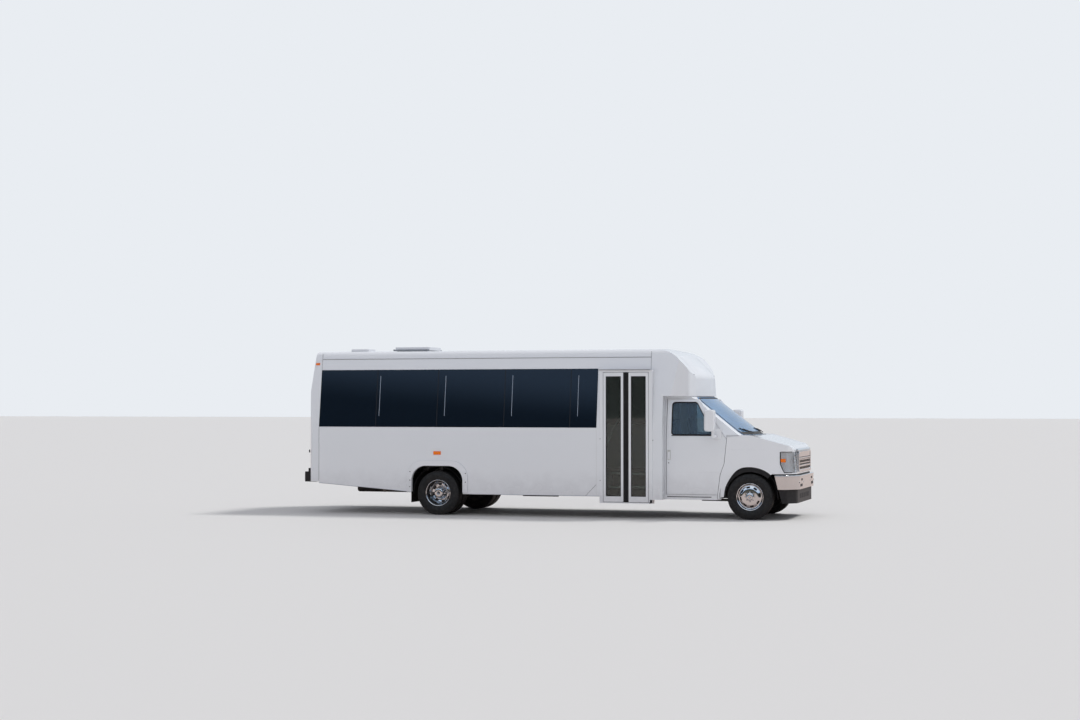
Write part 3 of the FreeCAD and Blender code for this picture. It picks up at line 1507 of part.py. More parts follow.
def windshield():
    body = new_body("windshield")
    run = S.screen_base_ahead + S.screen_top_aft
    rise = S.screen_top_z - S.cowl_z
    edge, tip = screen_base(-S.seat_gap)
    outer_edge, outer_tip = screen_base(-S.glass_thick * 1.7)
    reach = S.coach_half
    pane = pad(body, "XY", "Pane", [[
        (edge, -reach), (tip, 0, S.screen_radius), (edge, reach),
        (outer_edge, reach), (outer_tip, 0, S.screen_radius), (outer_edge, -reach)]],
        S.cowl_z, S.screen_top_z)
    slanted(pane, run, rise)
    trim(body, "YZ", "PaneEdge", screen_outline(as_size(0)), S.roof_z, -S.bulkhead_aft, S.coach_half)


def cab_door(side):
    name = side_name(side)
    body = new_body("cab_door_" + name)
    back = -S.door_back_aft
    thick = S.door_thick
    inside = (S.cab_half - S.overshoot) * side
    outside = (S.cab_half + S.overshoot) * side
    door_slab(body, "Door" + name, side, thick, 0, 0, 0)
    pocket(body, "XZ", "DoorWindow" + name, [door_window(as_size(0))], inside, outside)
    mirror_back = -S.mirror_aft - S.mirror_depth / 2
    pad(body, "XY", "MirrorHead" + name, [
        box_outline(mirror_back, mirror_back + S.mirror_depth,
                    *sorted(((S.mirror_half - S.mirror_width / 2) * side,
                             (S.mirror_half + S.mirror_width / 2) * side), key=lambda e: e.value), 35)],
        S.mirror_bottom_z, S.mirror_top_z)
    arm_end = (S.mirror_half + 20) * side
    foot = (S.cab_half - thick / 2) * side
    pad(body, "XZ", "MirrorArm" + name, [box_outline(-S.mirror_aft + 10, -S.mirror_aft + 60,
                                                     1325, 1350)], foot, arm_end)
    pad(body, "XZ", "MirrorPost" + name, [box_outline(-S.mirror_aft + 10, -S.mirror_aft + 50,
                                                      1325, S.mirror_bottom_z + 20)],
        arm_end, arm_end - 40 * side)
    glass = new_body("cab_glass_" + name)
    low = S.door_window_base_z - 20
    high = S.door_window_top_z + 20
    set_in = as_size(15)

    def slope(level, inset):
        lean = S.cab_lean * (as_size(level) - S.cab_belt_z) / (S.cap_under_z - S.cab_belt_z)
        return (S.cab_half - lean - inset) * side

    pad(glass, "YZ", "DoorPane" + name, [[
        (slope(low, set_in), low),
        (slope(high, set_in), high),
        (slope(high, set_in + S.glass_thick), high),
        (slope(low, set_in + S.glass_thick), low),
    ]], back, -S.door_belt_aft)
    trim(glass, "XZ", "DoorPaneEdge" + name, door_window(S.seat_gap), S.roof_z, inside, outside)


def door_window(inset):
    return [
        (-S.door_window_back_aft + inset, S.door_window_base_z + inset, 45),
        (-S.door_window_base_aft - inset, S.door_window_base_z + inset, 30),
        (-S.door_window_top_aft - inset, S.door_window_top_z - inset, 60),
        (-S.door_window_back_aft + inset, S.door_window_top_z - inset, 60),
    ]


def dashboard():
    body = new_body("dashboard")
    pad(body, "XZ", "Fascia", [[
        (-S.firewall_aft - S.firewall_thick, 1000),
        (-S.firewall_aft - S.firewall_thick, 1310),
        (-430, 1310, 30),
        (-520, 1230, 40),
        (-500, 1060),
        (-400, 1000),
    ]], -S.cab_half + S.cab_wall + 20, S.cab_half - S.cab_wall - 20)
    doghouse = S.engine_half + 60
    pad(body, "XZ", "EngineCover", [[
        (-S.firewall_aft - S.firewall_thick, S.cab_floor_z + 5),
        (-S.engine_back_aft - 130, S.cab_floor_z + 5),
        (-S.engine_back_aft - 80, S.engine_top_z + 40, 60),
        (-S.firewall_aft - S.firewall_thick, S.engine_top_z + 60),
    ]], -doghouse, doghouse)
    wide = S.column_radius + S.seat_gap
    pocket(body, "XZ", "ColumnSocket", [[
        column_point(as_size(60), -wide),
        column_point(S.column_reach + S.seat_gap, -wide),
        column_point(S.column_reach + S.seat_gap, wide),
        column_point(as_size(60), wide),
    ]], S.steering_wheel_half - wide, S.steering_wheel_half + wide)
    wall = S.sheet_thick
    pocket(body, "XZ", "EngineCoverRoom", [[
        (-S.firewall_aft, S.cab_floor_z - 20),
        (-S.engine_back_aft - 130 + wall, S.cab_floor_z - 20),
        (-S.engine_back_aft - 80 + wall, S.engine_top_z + 40 - wall, 40),
        (-S.firewall_aft, S.engine_top_z + 60 - wall),
    ]], -doghouse + wall, doghouse - wall)


def column_point(along, across):
    """A point beside the steering column, from the wheel's centre down it and square to it."""
    rake = math.radians(S.column_rake.value)
    run = math.cos(rake)
    drop = math.sin(rake)
    return (-S.steering_wheel_aft + along * run + across * drop,
            S.steering_wheel_z - along * drop + across * run)


def steering_column():
    """A shrouded column from the dashboard to just below the steering wheel's hub."""
    runs = []
    for name, near, radius in (("Column", as_size(46), 24), ("Shroud", as_size(90), S.column_radius)):
        ends = [(point[0], S.steering_wheel_half, point[1])
                for point in (column_point(S.column_reach, as_size(0)), column_point(near, as_size(0)))]
        runs.append(straight_run(name, ends[0], ends[1], radius))
    joined("steering_column", runs)


def seat_outline(front, cushion):
    """A seat's cushion and leaned back from the side."""
    return [
        (front, cushion),
        (front, cushion - 110),
        (front - 400, cushion - 110),
        (front - 530, cushion + 640),
        (front - 440, cushion + 650),
        (front - 350, cushion),
    ]


def seat_leg(front, floor, cushion):
    return [(front - 80, cushion - 100), (front - 120, floor), (front - 330, floor),
            (front - 370, cushion - 100)]


def cab_seats():
    body = new_body("cab_seats")
    front = -S.bulkhead_aft + 560
    for side in (1, -1):
        ends = sorted((as_size(380 * side), as_size(860 * side)), key=lambda end: end.value)
        pad(body, "XZ", "CabSeat" + side_name(side),
            [seat_outline(front, S.cab_floor_z + 330)], ends[0], ends[1])
        pad(body, "XZ", "CabSeatBase" + side_name(side),
            [seat_leg(front, S.cab_floor_z, S.cab_floor_z + 330)], ends[0] + 60, ends[1] - 60)


def passenger_seats():
    """Rows of two benches, as many as the coach has room for."""
    body = new_body("passenger_seats")
    back_reach = 530
    room = S.rear_face_aft - S.coach_wall - S.seat_first_aft - back_reach - 60
    rows = whole(room / S.seat_pitch) + 1
    for side in (1, -1):
        inner = S.seat_half_gap * side
        outer = (S.seat_half_gap + S.seat_width) * side
        seat = pad(body, "XZ", "BenchSeat" + side_name(side),
                   [seat_outline(-S.seat_first_aft, S.floor_z + 450)], inner, outer)
        leg = pad(body, "XZ", "BenchLeg" + side_name(side),
                  [seat_leg(-S.seat_first_aft, S.floor_z, S.floor_z + 450)],
                  inner + 60 * side, inner + 100 * side)
        repeat_along(body, [seat, leg], "X", S.seat_pitch, rows, backwards=True)


# Nose.

def nose_form(body, name):
    """The whole front end as a solid: its side, then its plan cut to the tapered corners."""
    door_gap = S.hinge_gap
    pad(body, "XZ", name + "Side", [[
        (-S.door_toe_aft + door_gap, S.rocker_z + 15),
        (-S.front_arch_back_aft, S.rocker_z + 15),
        (-S.front_arch_back_aft, S.nose_bottom_z),
        (S.nose_ahead, S.nose_bottom_z),
        (S.nose_top_ahead, S.nose_top_z, 60),
        (S.nose_brow_ahead, S.nose_brow_z, 80),
        (S.hood_back_ahead, S.hood_back_z),
        (-S.firewall_aft, S.cowl_z),
        (-S.door_belt_aft + door_gap, S.cowl_z - 30),
        (-S.door_belt_aft + door_gap, S.cab_belt_z),
        (-S.door_waist_aft + door_gap, S.door_waist_z),
        (-S.door_knee_aft + door_gap, S.door_knee_z),
        (-S.door_toe_aft + door_gap, S.door_bottom_z),
    ]], -S.cab_half, S.cab_half)
    trim(body, "XY", name + "Plan", nose_plan(as_size(0)), S.roof_z, S.rocker_z - 20, S.cowl_z + 30)


def nose_plan(inset):
    return [
        (-S.cab_half, -S.cab_half + inset),
        (S.nose_taper_ahead, -S.cab_half + inset, 600),
        (S.nose_corner_ahead - inset / 2, -S.nose_corner_half + inset, 120),
        (S.nose_ahead - inset, -S.nose_front_half, 90),
        (S.nose_ahead - inset, S.nose_front_half, 90),
        (S.nose_corner_ahead - inset / 2, S.nose_corner_half - inset, 120),
        (S.nose_taper_ahead, S.cab_half - inset, 600),
        (-S.cab_half, S.cab_half - inset),
    ]


def hood_plan(grow):
    return [
        (S.hood_back_ahead - grow, -S.hood_back_half - grow),
        (S.nose_ahead + S.overshoot, -S.hood_front_half - grow + 60),
        (S.nose_ahead + S.overshoot, S.hood_front_half + grow - 60),
        (S.hood_back_ahead - grow, S.hood_back_half + grow),
    ]


def front_fenders():
    body = new_body("front_fenders")
    nose_form(body, "Fender")
    wall = S.fender_wall
    pocket(body, "XZ", "FrontArch", [Ring(0, S.tyre_radius, S.front_arch_radius)],
           -S.cab_half - 20, S.cab_half + 20)
    top_wall = S.fender_top_wall
    room = document.addObject("PartDesign::Body", "FenderRoom")
    pad(room, "XZ", "FenderRoomSide", [[
        (-S.cab_half, S.rocker_z - 50),
        (-S.cab_half, S.cowl_z - 30 - top_wall),
        (S.hood_back_ahead, S.cowl_z - 30 - top_wall),
        (S.nose_brow_ahead - 15, S.nose_brow_z - top_wall, 40),
        (S.nose_ahead - wall, S.nose_top_z - top_wall, 30),
        (S.nose_ahead - wall, S.rocker_z - 50),
    ]], -S.cab_half, S.cab_half)
    trim(room, "XY", "FenderRoomPlan", nose_plan(wall), S.roof_z, S.rocker_z - 60, S.cowl_z + 30)
    cut_away(body, room)
    pocket(body, "XY", "HoodHole", [hood_plan(-S.hood_lap)], S.nose_top_z + 5, S.cowl_z + 50)
    seat = document.addObject("PartDesign::Body", "HoodRoom")
    hood_slab(seat, "HoodRoom", as_size(60), S.shut_gap, S.seat_gap)
    cut_away(body, seat)
    pocket(body, "XZ", "CowlHole", [[
        (-S.cab_half, S.cowl_z - top_wall - 100),
        (-S.cab_half, S.cowl_z + 50),
        (-S.firewall_aft, S.cowl_z + 50),
        (-S.firewall_aft, S.cowl_z - top_wall - 100),
    ]], -S.cab_half + wall, S.cab_half - wall)
    for side in (1, -1):
        name = side_name(side)
        pocket(body, "YZ", "LampHole" + name, [lamp_outline(side, as_size(0))],
               S.lamp_back_ahead, S.nose_ahead + 50)
    pocket(body, "YZ", "GrilleHole", [
        box_outline(-S.grille_half, S.grille_half, S.grille_bottom_z, S.grille_top_z, 30)],
        S.lamp_back_ahead, S.nose_ahead + 50)


def lamp_outline(side, inset):
    ends = sorted(((S.lamp_inner_half + inset) * side, (S.cab_half + 20) * side), key=lambda e: e.value)
    return box_outline(ends[0], ends[1], S.lamp_bottom_z + inset, S.lamp_top_z - inset)


def headlamps():
    """Lamp units that close the nose's corners, flush with its skin."""
    body = new_body("headlamps")
    snug = S.seat_gap
    nose_form(body, "Lamp")
    keep = [lamp_outline(side, snug) for side in (1, -1)]
    reach = S.roof_z
    pocket(body, "YZ", "LampTrim", [box_outline(-reach, reach, -reach, reach)] + keep,
           -S.cab_half - 20, S.nose_ahead + 20)
    pocket(body, "XY", "LampBack", [box_outline(-S.cab_half, S.lamp_back_ahead + snug,
                                                -S.cab_half - 30, S.cab_half + 30)],
           S.rocker_z - 20, S.cowl_z + 30)


def grille():
    """A chromed egg-crate of bars in a frame."""
    body = new_body("grille")
    snug = S.seat_gap
    back = S.nose_ahead - S.grille_thick
    pad(body, "YZ", "GrilleBlock", [
        box_outline(-S.grille_half + snug, S.grille_half - snug,
                    S.grille_bottom_z + snug, S.grille_top_z - snug, 30)], back, S.nose_ahead + 8)
    bar = S.grille_bar
    cell_width = (S.grille_half * 2 - bar * 2) / S.grille_columns
    cell_height = (S.grille_top_z - S.grille_bottom_z - bar * 2) / S.grille_rows
    left = -S.grille_half + bar * 1.5
    low = S.grille_bottom_z + bar * 1.5
    cell = pocket(body, "YZ", "GrilleCell", [
        box_outline(left, left + cell_width - bar, low, low + cell_height - bar)],
        back - 10, S.nose_ahead + 20)
    pattern = body.newObject("PartDesign::LinearPattern", "GrilleCells")
    pattern.Originals = [cell]
    for part in body.Origin.OriginFeatures:
        if part.Role == "Y_Axis":
            pattern.Direction = (part, [""])
        if part.Role == "Z_Axis":
            pattern.Direction2 = (part, [""])
    pattern.Mode = "Spacing"
    pattern.Mode2 = "Spacing"
    bind(pattern, "Offset", cell_width)
    bind(pattern, "Occurrences", S.grille_columns)
    bind(pattern, "Offset2", cell_height)
    bind(pattern, "Occurrences2", S.grille_rows)
    body.Tip = pattern


def hood_slab(body, name, proud, grow, sink):
    """The hood's slab, or the room for it: raised on top, grown round its edges and sunk below."""
    deep = S.hood_thick + sink
    tip = S.nose_top_ahead - 6 + grow
    back = S.hood_back_ahead - grow
    pad(body, "XZ", name + "Slab", [[
        (tip, S.nose_top_z + 20 + proud),
        (S.nose_brow_ahead, S.nose_brow_z + proud, 80),
        (S.hood_back_ahead, S.hood_back_z + proud),
        (back - 1, S.hood_back_z + proud),
        (back - 1, S.hood_back_z - deep),
        (S.hood_back_ahead, S.hood_back_z - deep),
        (S.nose_brow_ahead - 15, S.nose_brow_z - deep, 60),
        (S.nose_ahead - 60, S.nose_top_z - 6 - sink),
        (tip, S.nose_top_z - 6 - sink),
    ]], -S.cab_half, S.cab_half)
    trim(body, "XY", name + "Plan", hood_plan(grow), S.roof_z, S.nose_top_z - 90, S.cowl_z + 90)


def hood():
    body = new_body("hood")
    hood_slab(body, "Hood", as_size(0), as_size(0), as_size(0))


def bumper_plan(inset):
    return [
        (S.bumper_back_ahead, -S.bumper_half + inset),
        (S.nose_corner_ahead - 30, -S.bumper_half + inset, 110),
        (S.front_overhang - inset, -S.nose_front_half, 160),
        (S.front_overhang - inset, S.nose_front_half, 160),
        (S.nose_corner_ahead - 30, S.bumper_half - inset, 110),
        (S.bumper_back_ahead, S.bumper_half - inset),
    ]


def plate_holes(middle):
    """Four screw holes for a blank plate, centred on a height."""
    return [Ring(across * S.plate_pitch_across / 2, middle + up * S.plate_pitch_up / 2, S.plate_hole_radius)
            for across in (-1, 1) for up in (-1, 1)]


def front_bumper():
    body = new_body("front_bumper")
    wall = S.bumper_wall
    outer = bumper_plan(as_size(0))
    inner = bumper_plan(wall)
    pad(body, "XY", "BumperBar", [outer + list(reversed(inner))], S.bumper_bottom_z, S.bumper_top_z)
    horn = pad(body, "XZ", "BumperHorn", [
        box_outline(S.rail_front_ahead + S.seat_gap, S.front_overhang - wall / 2,
                    S.bumper_bottom_z + 20, S.bumper_top_z - 80)],
        S.rail_half - S.rail_flange, S.rail_half)
    mirror(body, [horn])
    middle = (S.bumper_bottom_z + S.bumper_top_z) / 2
    pocket(body, "YZ", "PlateHoles", plate_holes(middle), S.front_overhang - wall - 10, S.front_overhang + 10)
    dam = new_body("air_dam")
    low = S.dam_bottom_z
    pad(dam, "XY", "Dam", [bumper_plan(S.dam_inset) + list(reversed(bumper_plan(S.dam_inset + 25)))],
        low, S.bumper_bottom_z)


def rear_bumper():
    body = new_body("rear_bumper")
    tail = -(S.wheelbase + S.rear_overhang)
    pad(body, "XZ", "StepBar", [[
        (tail, S.rear_bumper_bottom_z),
        (-S.rail_back_aft - S.seat_gap, S.rear_bumper_bottom_z),
        (-S.rail_back_aft - S.seat_gap, S.rear_bottom_z - S.seat_gap),
        (-S.rear_face_aft - S.seat_gap, S.rear_bottom_z - S.seat_gap),
        (-S.rear_face_aft - S.seat_gap, S.rear_step_z),
        (-S.rear_face_aft - 40, S.rear_step_z),
        (-S.rear_face_aft - 40, S.rear_bumper_top_z),
        (tail, S.rear_bumper_top_z),
    ]], -S.rear_bumper_half, S.rear_bumper_half)
    middle = (S.rear_bumper_bottom_z + S.rear_bumper_top_z) / 2
    pocket(body, "YZ", "PlateHoles", plate_holes(middle), tail - 10, tail + S.plate_hole_depth)


def lamps():
    body = new_body("tail_lamps")
    back = -S.rear_face_aft
    for side in (1, -1):
        for row, level in enumerate((900, 1040, 1180)):
            pad(body, "YZ", "TailLamp%s%d" % (side_name(side), row), [polygon(950 * side, level, 55)],
                back - 14, back - S.seat_gap)
    markers = new_body("marker_lamps")
    for side in (1, -1):
        for name, aft, level, half_length, half_height in (
                ("Side", S.wheelbase, as_size(1045), 65, 30),
                ("Top", S.rear_face_aft - 106, as_size(2560), 35, 20)):
            if name == "Side":
                low = high = S.coach_half + S.seat_gap
            else:
                low = lean_half(level - half_height, -S.seat_gap)
                high = lean_half(level + half_height, -S.seat_gap)
            pad(markers, "YZ", name + "Marker" + side_name(side), [[
                (low * side, level - half_height),
                (high * side, level + half_height),
                ((high + 14) * side, level + half_height - 4),
                ((low + 14) * side, level - half_height + 4),
            ]], -aft - half_length, -aft + half_length)


chassis_frame()
front_axle()
rear_axle()
driveline()
engine()
exhaust()
fuel_tank()
for side in (1, -1):
    knuckle(side)
    front_wheel(side)
    rear_wheel_pair(side)
    side_wall(side)
    side_glass(side)
    cab_door(side)
steering_wheel()
roof()
roof_hatch()
rear_cap()
rear_door()
front_cap()
coach_floor()
stepwell()
entry_frame()
entry_leaf("entry_leaf_front", S.entry_front_aft + S.entry_jamb + S.shut_gap,
           S.leaf_middle_aft - 3, "entry_glass_front")
entry_leaf("entry_leaf_rear", S.entry_back_aft - S.entry_jamb - S.shut_gap,
           S.leaf_middle_aft + 3, "entry_glass_rear")
wheel_flares()
mud_flaps()
cab_shell()
windshield()
dashboard()
steering_column()
cab_seats()
passenger_seats()
front_fenders()
headlamps()
grille()
hood()
front_bumper()
rear_bumper()
lamps()

document.recompute()
faults = []
for item in document.Objects:
    if "Invalid" in item.State or "Error" in item.State:
        faults.append("%s did not compute: %s" % (item.Name, item.getStatusString()))
for piece in pieces:
    if piece.Shape.isNull() or not piece.Shape.isValid() or piece.Shape.Volume < 1:
        faults.append("%s has no valid shape" % piece.Label)
if faults:
    raise SystemExit("\n".join(faults))
os.makedirs("parts", exist_ok=True)
for piece in pieces:
    piece.Shape.exportStep(os.path.join("parts", piece.Label + ".step"))
    box = piece.Shape.BoundBox
    print("%-20s solids %2d volume %8.2f l  x %7.0f %7.0f  y %6.0f %6.0f  z %5.0f %5.0f" % (
        piece.Label, len(piece.Shape.Solids), piece.Shape.Volume / 1e6,
        box.XMin, box.XMax, box.YMin, box.YMax, box.ZMin, box.ZMax))
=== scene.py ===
"""The looks of a white minibus with a cutaway cab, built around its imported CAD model."""

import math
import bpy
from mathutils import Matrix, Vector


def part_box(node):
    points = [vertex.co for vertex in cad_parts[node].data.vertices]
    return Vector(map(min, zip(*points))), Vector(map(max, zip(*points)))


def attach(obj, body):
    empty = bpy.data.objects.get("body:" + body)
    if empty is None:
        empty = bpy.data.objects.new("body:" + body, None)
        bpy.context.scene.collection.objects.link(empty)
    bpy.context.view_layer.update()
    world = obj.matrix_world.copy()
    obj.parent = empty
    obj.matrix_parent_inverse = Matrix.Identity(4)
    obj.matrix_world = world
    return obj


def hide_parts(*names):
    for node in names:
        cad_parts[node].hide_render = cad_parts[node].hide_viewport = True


bl_info = {
    "name": "Minibus looks",
    "version": (1, 0, 0),
    "blender": (4, 5, 0),
    "location": "View3D > Sidebar > Minibus",
    "description": "Builds the panels, glass, wheels, trim and interior of a minibus around its CAD model",
    "category": "Object",
}

import bmesh
import bpy
from mathutils import Matrix, Vector
from mathutils.bvhtree import BVHTree

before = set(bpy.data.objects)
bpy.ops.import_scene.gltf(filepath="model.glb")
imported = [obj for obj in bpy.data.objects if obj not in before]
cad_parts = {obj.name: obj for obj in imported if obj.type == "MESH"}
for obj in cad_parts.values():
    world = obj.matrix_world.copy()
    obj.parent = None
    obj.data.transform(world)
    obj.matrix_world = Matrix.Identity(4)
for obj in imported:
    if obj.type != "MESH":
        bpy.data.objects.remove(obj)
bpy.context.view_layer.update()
made = {}


def middle(node):
    """The middle of a CAD node's box."""
    low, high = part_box(node)
    return (low + high) / 2


front_axle = middle("front_tyre_right")
rear_axle = middle("rear_tyres_right")
tyre_radius = front_axle.z

SIDES = (("left", 1), ("right", -1))
# the faces of a box by its corners, and the way round a bar whose edges are four rows of points
BOX_FACES = ((0, 1, 3, 2), (4, 6, 7, 5), (0, 4, 5, 1), (2, 3, 7, 6), (0, 2, 6, 4), (1, 5, 7, 3))
BAR_ROUND = (0, 1, 3, 2)


# Colours and materials.

def hex_colour(code):
    """A linear colour from an sRGB hex value."""
    linear = []
    for start in (1, 3, 5):
        share = int(code[start:start + 2], 16) / 255
        linear.append(share / 12.92 if share <= 0.04045 else ((share + 0.055) / 1.055) ** 2.4)
    return (*linear, 1.0)


def add_node(tree, kind, settings=None, links=None):
    """Adds a node, sets its properties or unlinked sockets, and links its sockets by name or number."""
    node = tree.nodes.new(kind)
    for name, value in (settings or {}).items():
        if isinstance(name, str) and hasattr(node, name):
            setattr(node, name, value)
        else:
            node.inputs[name].default_value = value
    for socket, source in (links or {}).items():
        tree.links.new(source, node.inputs[socket])
    return node


def base_material(name, colour, roughness, **sockets):
    """A Principled material of one colour, with its other sockets given by name."""
    material = bpy.data.materials.new(name)
    material.use_nodes = True
    tree = material.node_tree
    surface = tree.nodes["Principled BSDF"]
    surface.inputs["Base Color"].default_value = hex_colour(colour)
    surface.inputs["Roughness"].default_value = roughness
    for socket, value in sockets.items():
        surface.inputs[socket.replace("_", " ")].default_value = value
    return material, tree, surface


def noise_on(tree, size_mm, detail=3.0, stretch=(1, 1, 1)):
    """Noise on Object coordinates whose grains are about a real size across."""
    place = add_node(tree, "ShaderNodeTexCoord")
    scaled = add_node(tree, "ShaderNodeMapping", {"Scale": stretch}, {"Vector": place.outputs["Object"]})
    return add_node(tree, "ShaderNodeTexNoise", {"Scale": 1000 / size_mm, "Detail": detail},
                    {"Vector": scaled.outputs["Vector"]}).outputs["Fac"]


def wave_scale(period_mm):
    """The wave texture's scale for a real distance between two crests."""
    return math.tau * 50 / period_mm


def tint(tree, surface, mask, colour, other, low=0.35, high=0.65):
    """Mixes two surface colours by a mask, which runs from its low to its high value."""
    ramp = add_node(tree, "ShaderNodeMapRange", {"From Min": low, "From Max": high}, {"Value": mask})
    mix = add_node(tree, "ShaderNodeMix", {"data_type": "RGBA"}, {"Factor": ramp.outputs["Result"]})
    mix.inputs[6].default_value = hex_colour(colour)
    mix.inputs[7].default_value = hex_colour(other)
    tree.links.new(mix.outputs[2], surface.inputs["Base Color"])


def rough_between(tree, surface, mask, low, high):
    """Lets a mask move the roughness between two values."""
    spread = add_node(tree, "ShaderNodeMapRange", {
        "From Min": 0.3, "From Max": 0.7, "To Min": low, "To Max": high}, {"Value": mask})
    tree.links.new(spread.outputs["Result"], surface.inputs["Roughness"])


def bump(tree, surface, height, depth_mm, strength=1.0, below=None):
    """Bump of a real depth; a second one goes on top of the first."""
    links = {"Height": height}
    if below is not None:
        links["Normal"] = below
    node = add_node(tree, "ShaderNodeBump", {"Distance": depth_mm / 1000, "Strength": strength}, links)
    tree.links.new(node.outputs["Normal"], surface.inputs["Normal"])
    return node.outputs["Normal"]


def gloss_panel(name, colour, worn, coat=0.5, wave_mm=0.25):
    """Sprayed two-pack white over panels: a clear gloss, a slight orange peel, long waves in the skin
    and a thin film of road dust that gathers towards the ground."""
    material, tree, surface = base_material(name, colour, 0.28, Coat_Weight=coat, Coat_Roughness=0.06)
    place = add_node(tree, "ShaderNodeTexCoord")
    split = add_node(tree, "ShaderNodeSeparateXYZ", {}, {"Vector": place.outputs["Object"]})
    low_down = add_node(tree, "ShaderNodeMapRange", {"From Min": 0.95, "From Max": 0.25},
                        {"Value": split.outputs["Z"]})
    patchy = noise_on(tree, 160, 6)
    film = add_node(tree, "ShaderNodeMath", {"operation": "MULTIPLY"},
                    {0: low_down.outputs["Result"], 1: patchy})
    tint(tree, surface, film.outputs[0], colour, worn, 0.12, 1.0)
    rough_between(tree, surface, film.outputs[0], 0.24, 0.42)
    waves = bump(tree, surface, noise_on(tree, 420, 1), wave_mm, 0.5)
    bump(tree, surface, noise_on(tree, 7, 1), 0.02, 0.5, waves)
    return material


def moulded(name, colour, other, roughness, grain_mm=1.6, depth_mm=0.12):
    """Injection-moulded plastic with a pebbled grain, drawn coarser than the real one so that it shows."""
    material, tree, surface = base_material(name, colour, roughness)
    tint(tree, surface, noise_on(tree, 60, 5), colour, other)
    cells = add_node(tree, "ShaderNodeTexVoronoi", {"Scale": 1000 / grain_mm},
                     {"Vector": add_node(tree, "ShaderNodeTexCoord").outputs["Object"]})
    bump(tree, surface, cells.outputs["Distance"], depth_mm, 0.6)
    return material


def metal(name, colour, other, roughness, grain_mm, stretch, depth_mm=0.02):
    """Bare or plated metal: its grain runs one way where it was brushed or rolled."""
    material, tree, surface = base_material(name, colour, roughness, Metallic=1.0)
    grain = noise_on(tree, grain_mm, 4, stretch)
    tint(tree, surface, grain, colour, other, 0.2, 0.8)
    rough_between(tree, surface, grain, roughness * 0.8, min(1.0, roughness * 1.5))
    bump(tree, surface, grain, depth_mm, 0.5)
    return material


def coated_steel(name, colour, other, roughness):
    """Chassis paint on rolled steel: satin, with dusty brown patches."""
    material, tree, surface = base_material(name, colour, roughness)
    tint(tree, surface, noise_on(tree, 90, 8), colour, other, 0.4, 0.75)
    rough_between(tree, surface, noise_on(tree, 35, 4), roughness * 0.8, roughness * 1.3)
    bump(tree, surface, noise_on(tree, 3, 4), 0.15, 0.5)
    return material


def pane(name, colour, see_through, roughness=0.02, shine=0.5):
    """Tempered glass, tinted in the batch, as flat as float glass gets after its bend in the kiln."""
    material, tree, surface = base_material(
        name, colour, roughness, IOR=1.5, Transmission_Weight=see_through, Specular_IOR_Level=shine)
    bump(tree, surface, noise_on(tree, 700, 1), 0.5, 0.25)
    return material


def lens(name, colour, see_through, rib_mm=9.0, depth_mm=0.8):
    """Moulded acrylic or polycarbonate with upright flutes inside the lens."""
    material, tree, surface = base_material(name, colour, 0.06, IOR=1.49, Transmission_Weight=see_through)
    place = add_node(tree, "ShaderNodeTexCoord")
    flutes = add_node(tree, "ShaderNodeTexWave", {"bands_direction": "Y", "Scale": wave_scale(rib_mm),
                                                  "Distortion": 0.0}, {"Vector": place.outputs["Object"]})
    bump(tree, surface, flutes.outputs["Fac"], depth_mm, 0.35)
    return material


def woven(name, colour, other, thread_mm=3.0):
    """Transit seat cloth: a flat weave with a fleck, drawn about three times coarser than life."""
    material, tree, surface = base_material(name, colour, 0.85, Sheen_Weight=0.35, Sheen_Roughness=0.5)
    place = add_node(tree, "ShaderNodeTexCoord").outputs["Object"]
    rows = []
    for direction in ("X", "Z"):
        rows.append(add_node(tree, "ShaderNodeTexWave", {"bands_direction": direction,
                                                         "Scale": wave_scale(thread_mm)},
                             {"Vector": place}).outputs["Fac"])
    both = add_node(tree, "ShaderNodeMath", {"operation": "MAXIMUM"}, {0: rows[0], 1: rows[1]})
    tint(tree, surface, noise_on(tree, 14, 2), colour, other, 0.45, 0.62)
    bump(tree, surface, both.outputs[0], 0.5, 0.5)
    return material


def ribbed_floor(name, colour, other, pitch_mm=18.0):
    """Extruded vinyl floor covering, ribbed along the aisle and scuffed by shoes."""
    material, tree, surface = base_material(name, colour, 0.55)
    place = add_node(tree, "ShaderNodeTexCoord").outputs["Object"]
    ribs = add_node(tree, "ShaderNodeTexWave", {"bands_direction": "Y", "Scale": wave_scale(pitch_mm)},
                    {"Vector": place})
    tint(tree, surface, noise_on(tree, 50, 6), colour, other, 0.4, 0.7)
    bump(tree, surface, ribs.outputs["Fac"], 1.2, 0.7)
    return material


def tread_rubber(name, colour, other, roughness=0.72):
    """Carbon-filled tyre rubber: nearly black, greyed by dust on the tread, with fine mould marks."""
    material, tree, surface = base_material(name, colour, roughness)
    tint(tree, surface, noise_on(tree, 45, 8), colour, other, 0.45, 0.8)
    rough_between(tree, surface, noise_on(tree, 30, 4), roughness - 0.12, roughness + 0.1)
    bump(tree, surface, noise_on(tree, 2.2, 3), 0.12, 0.5)
    return material


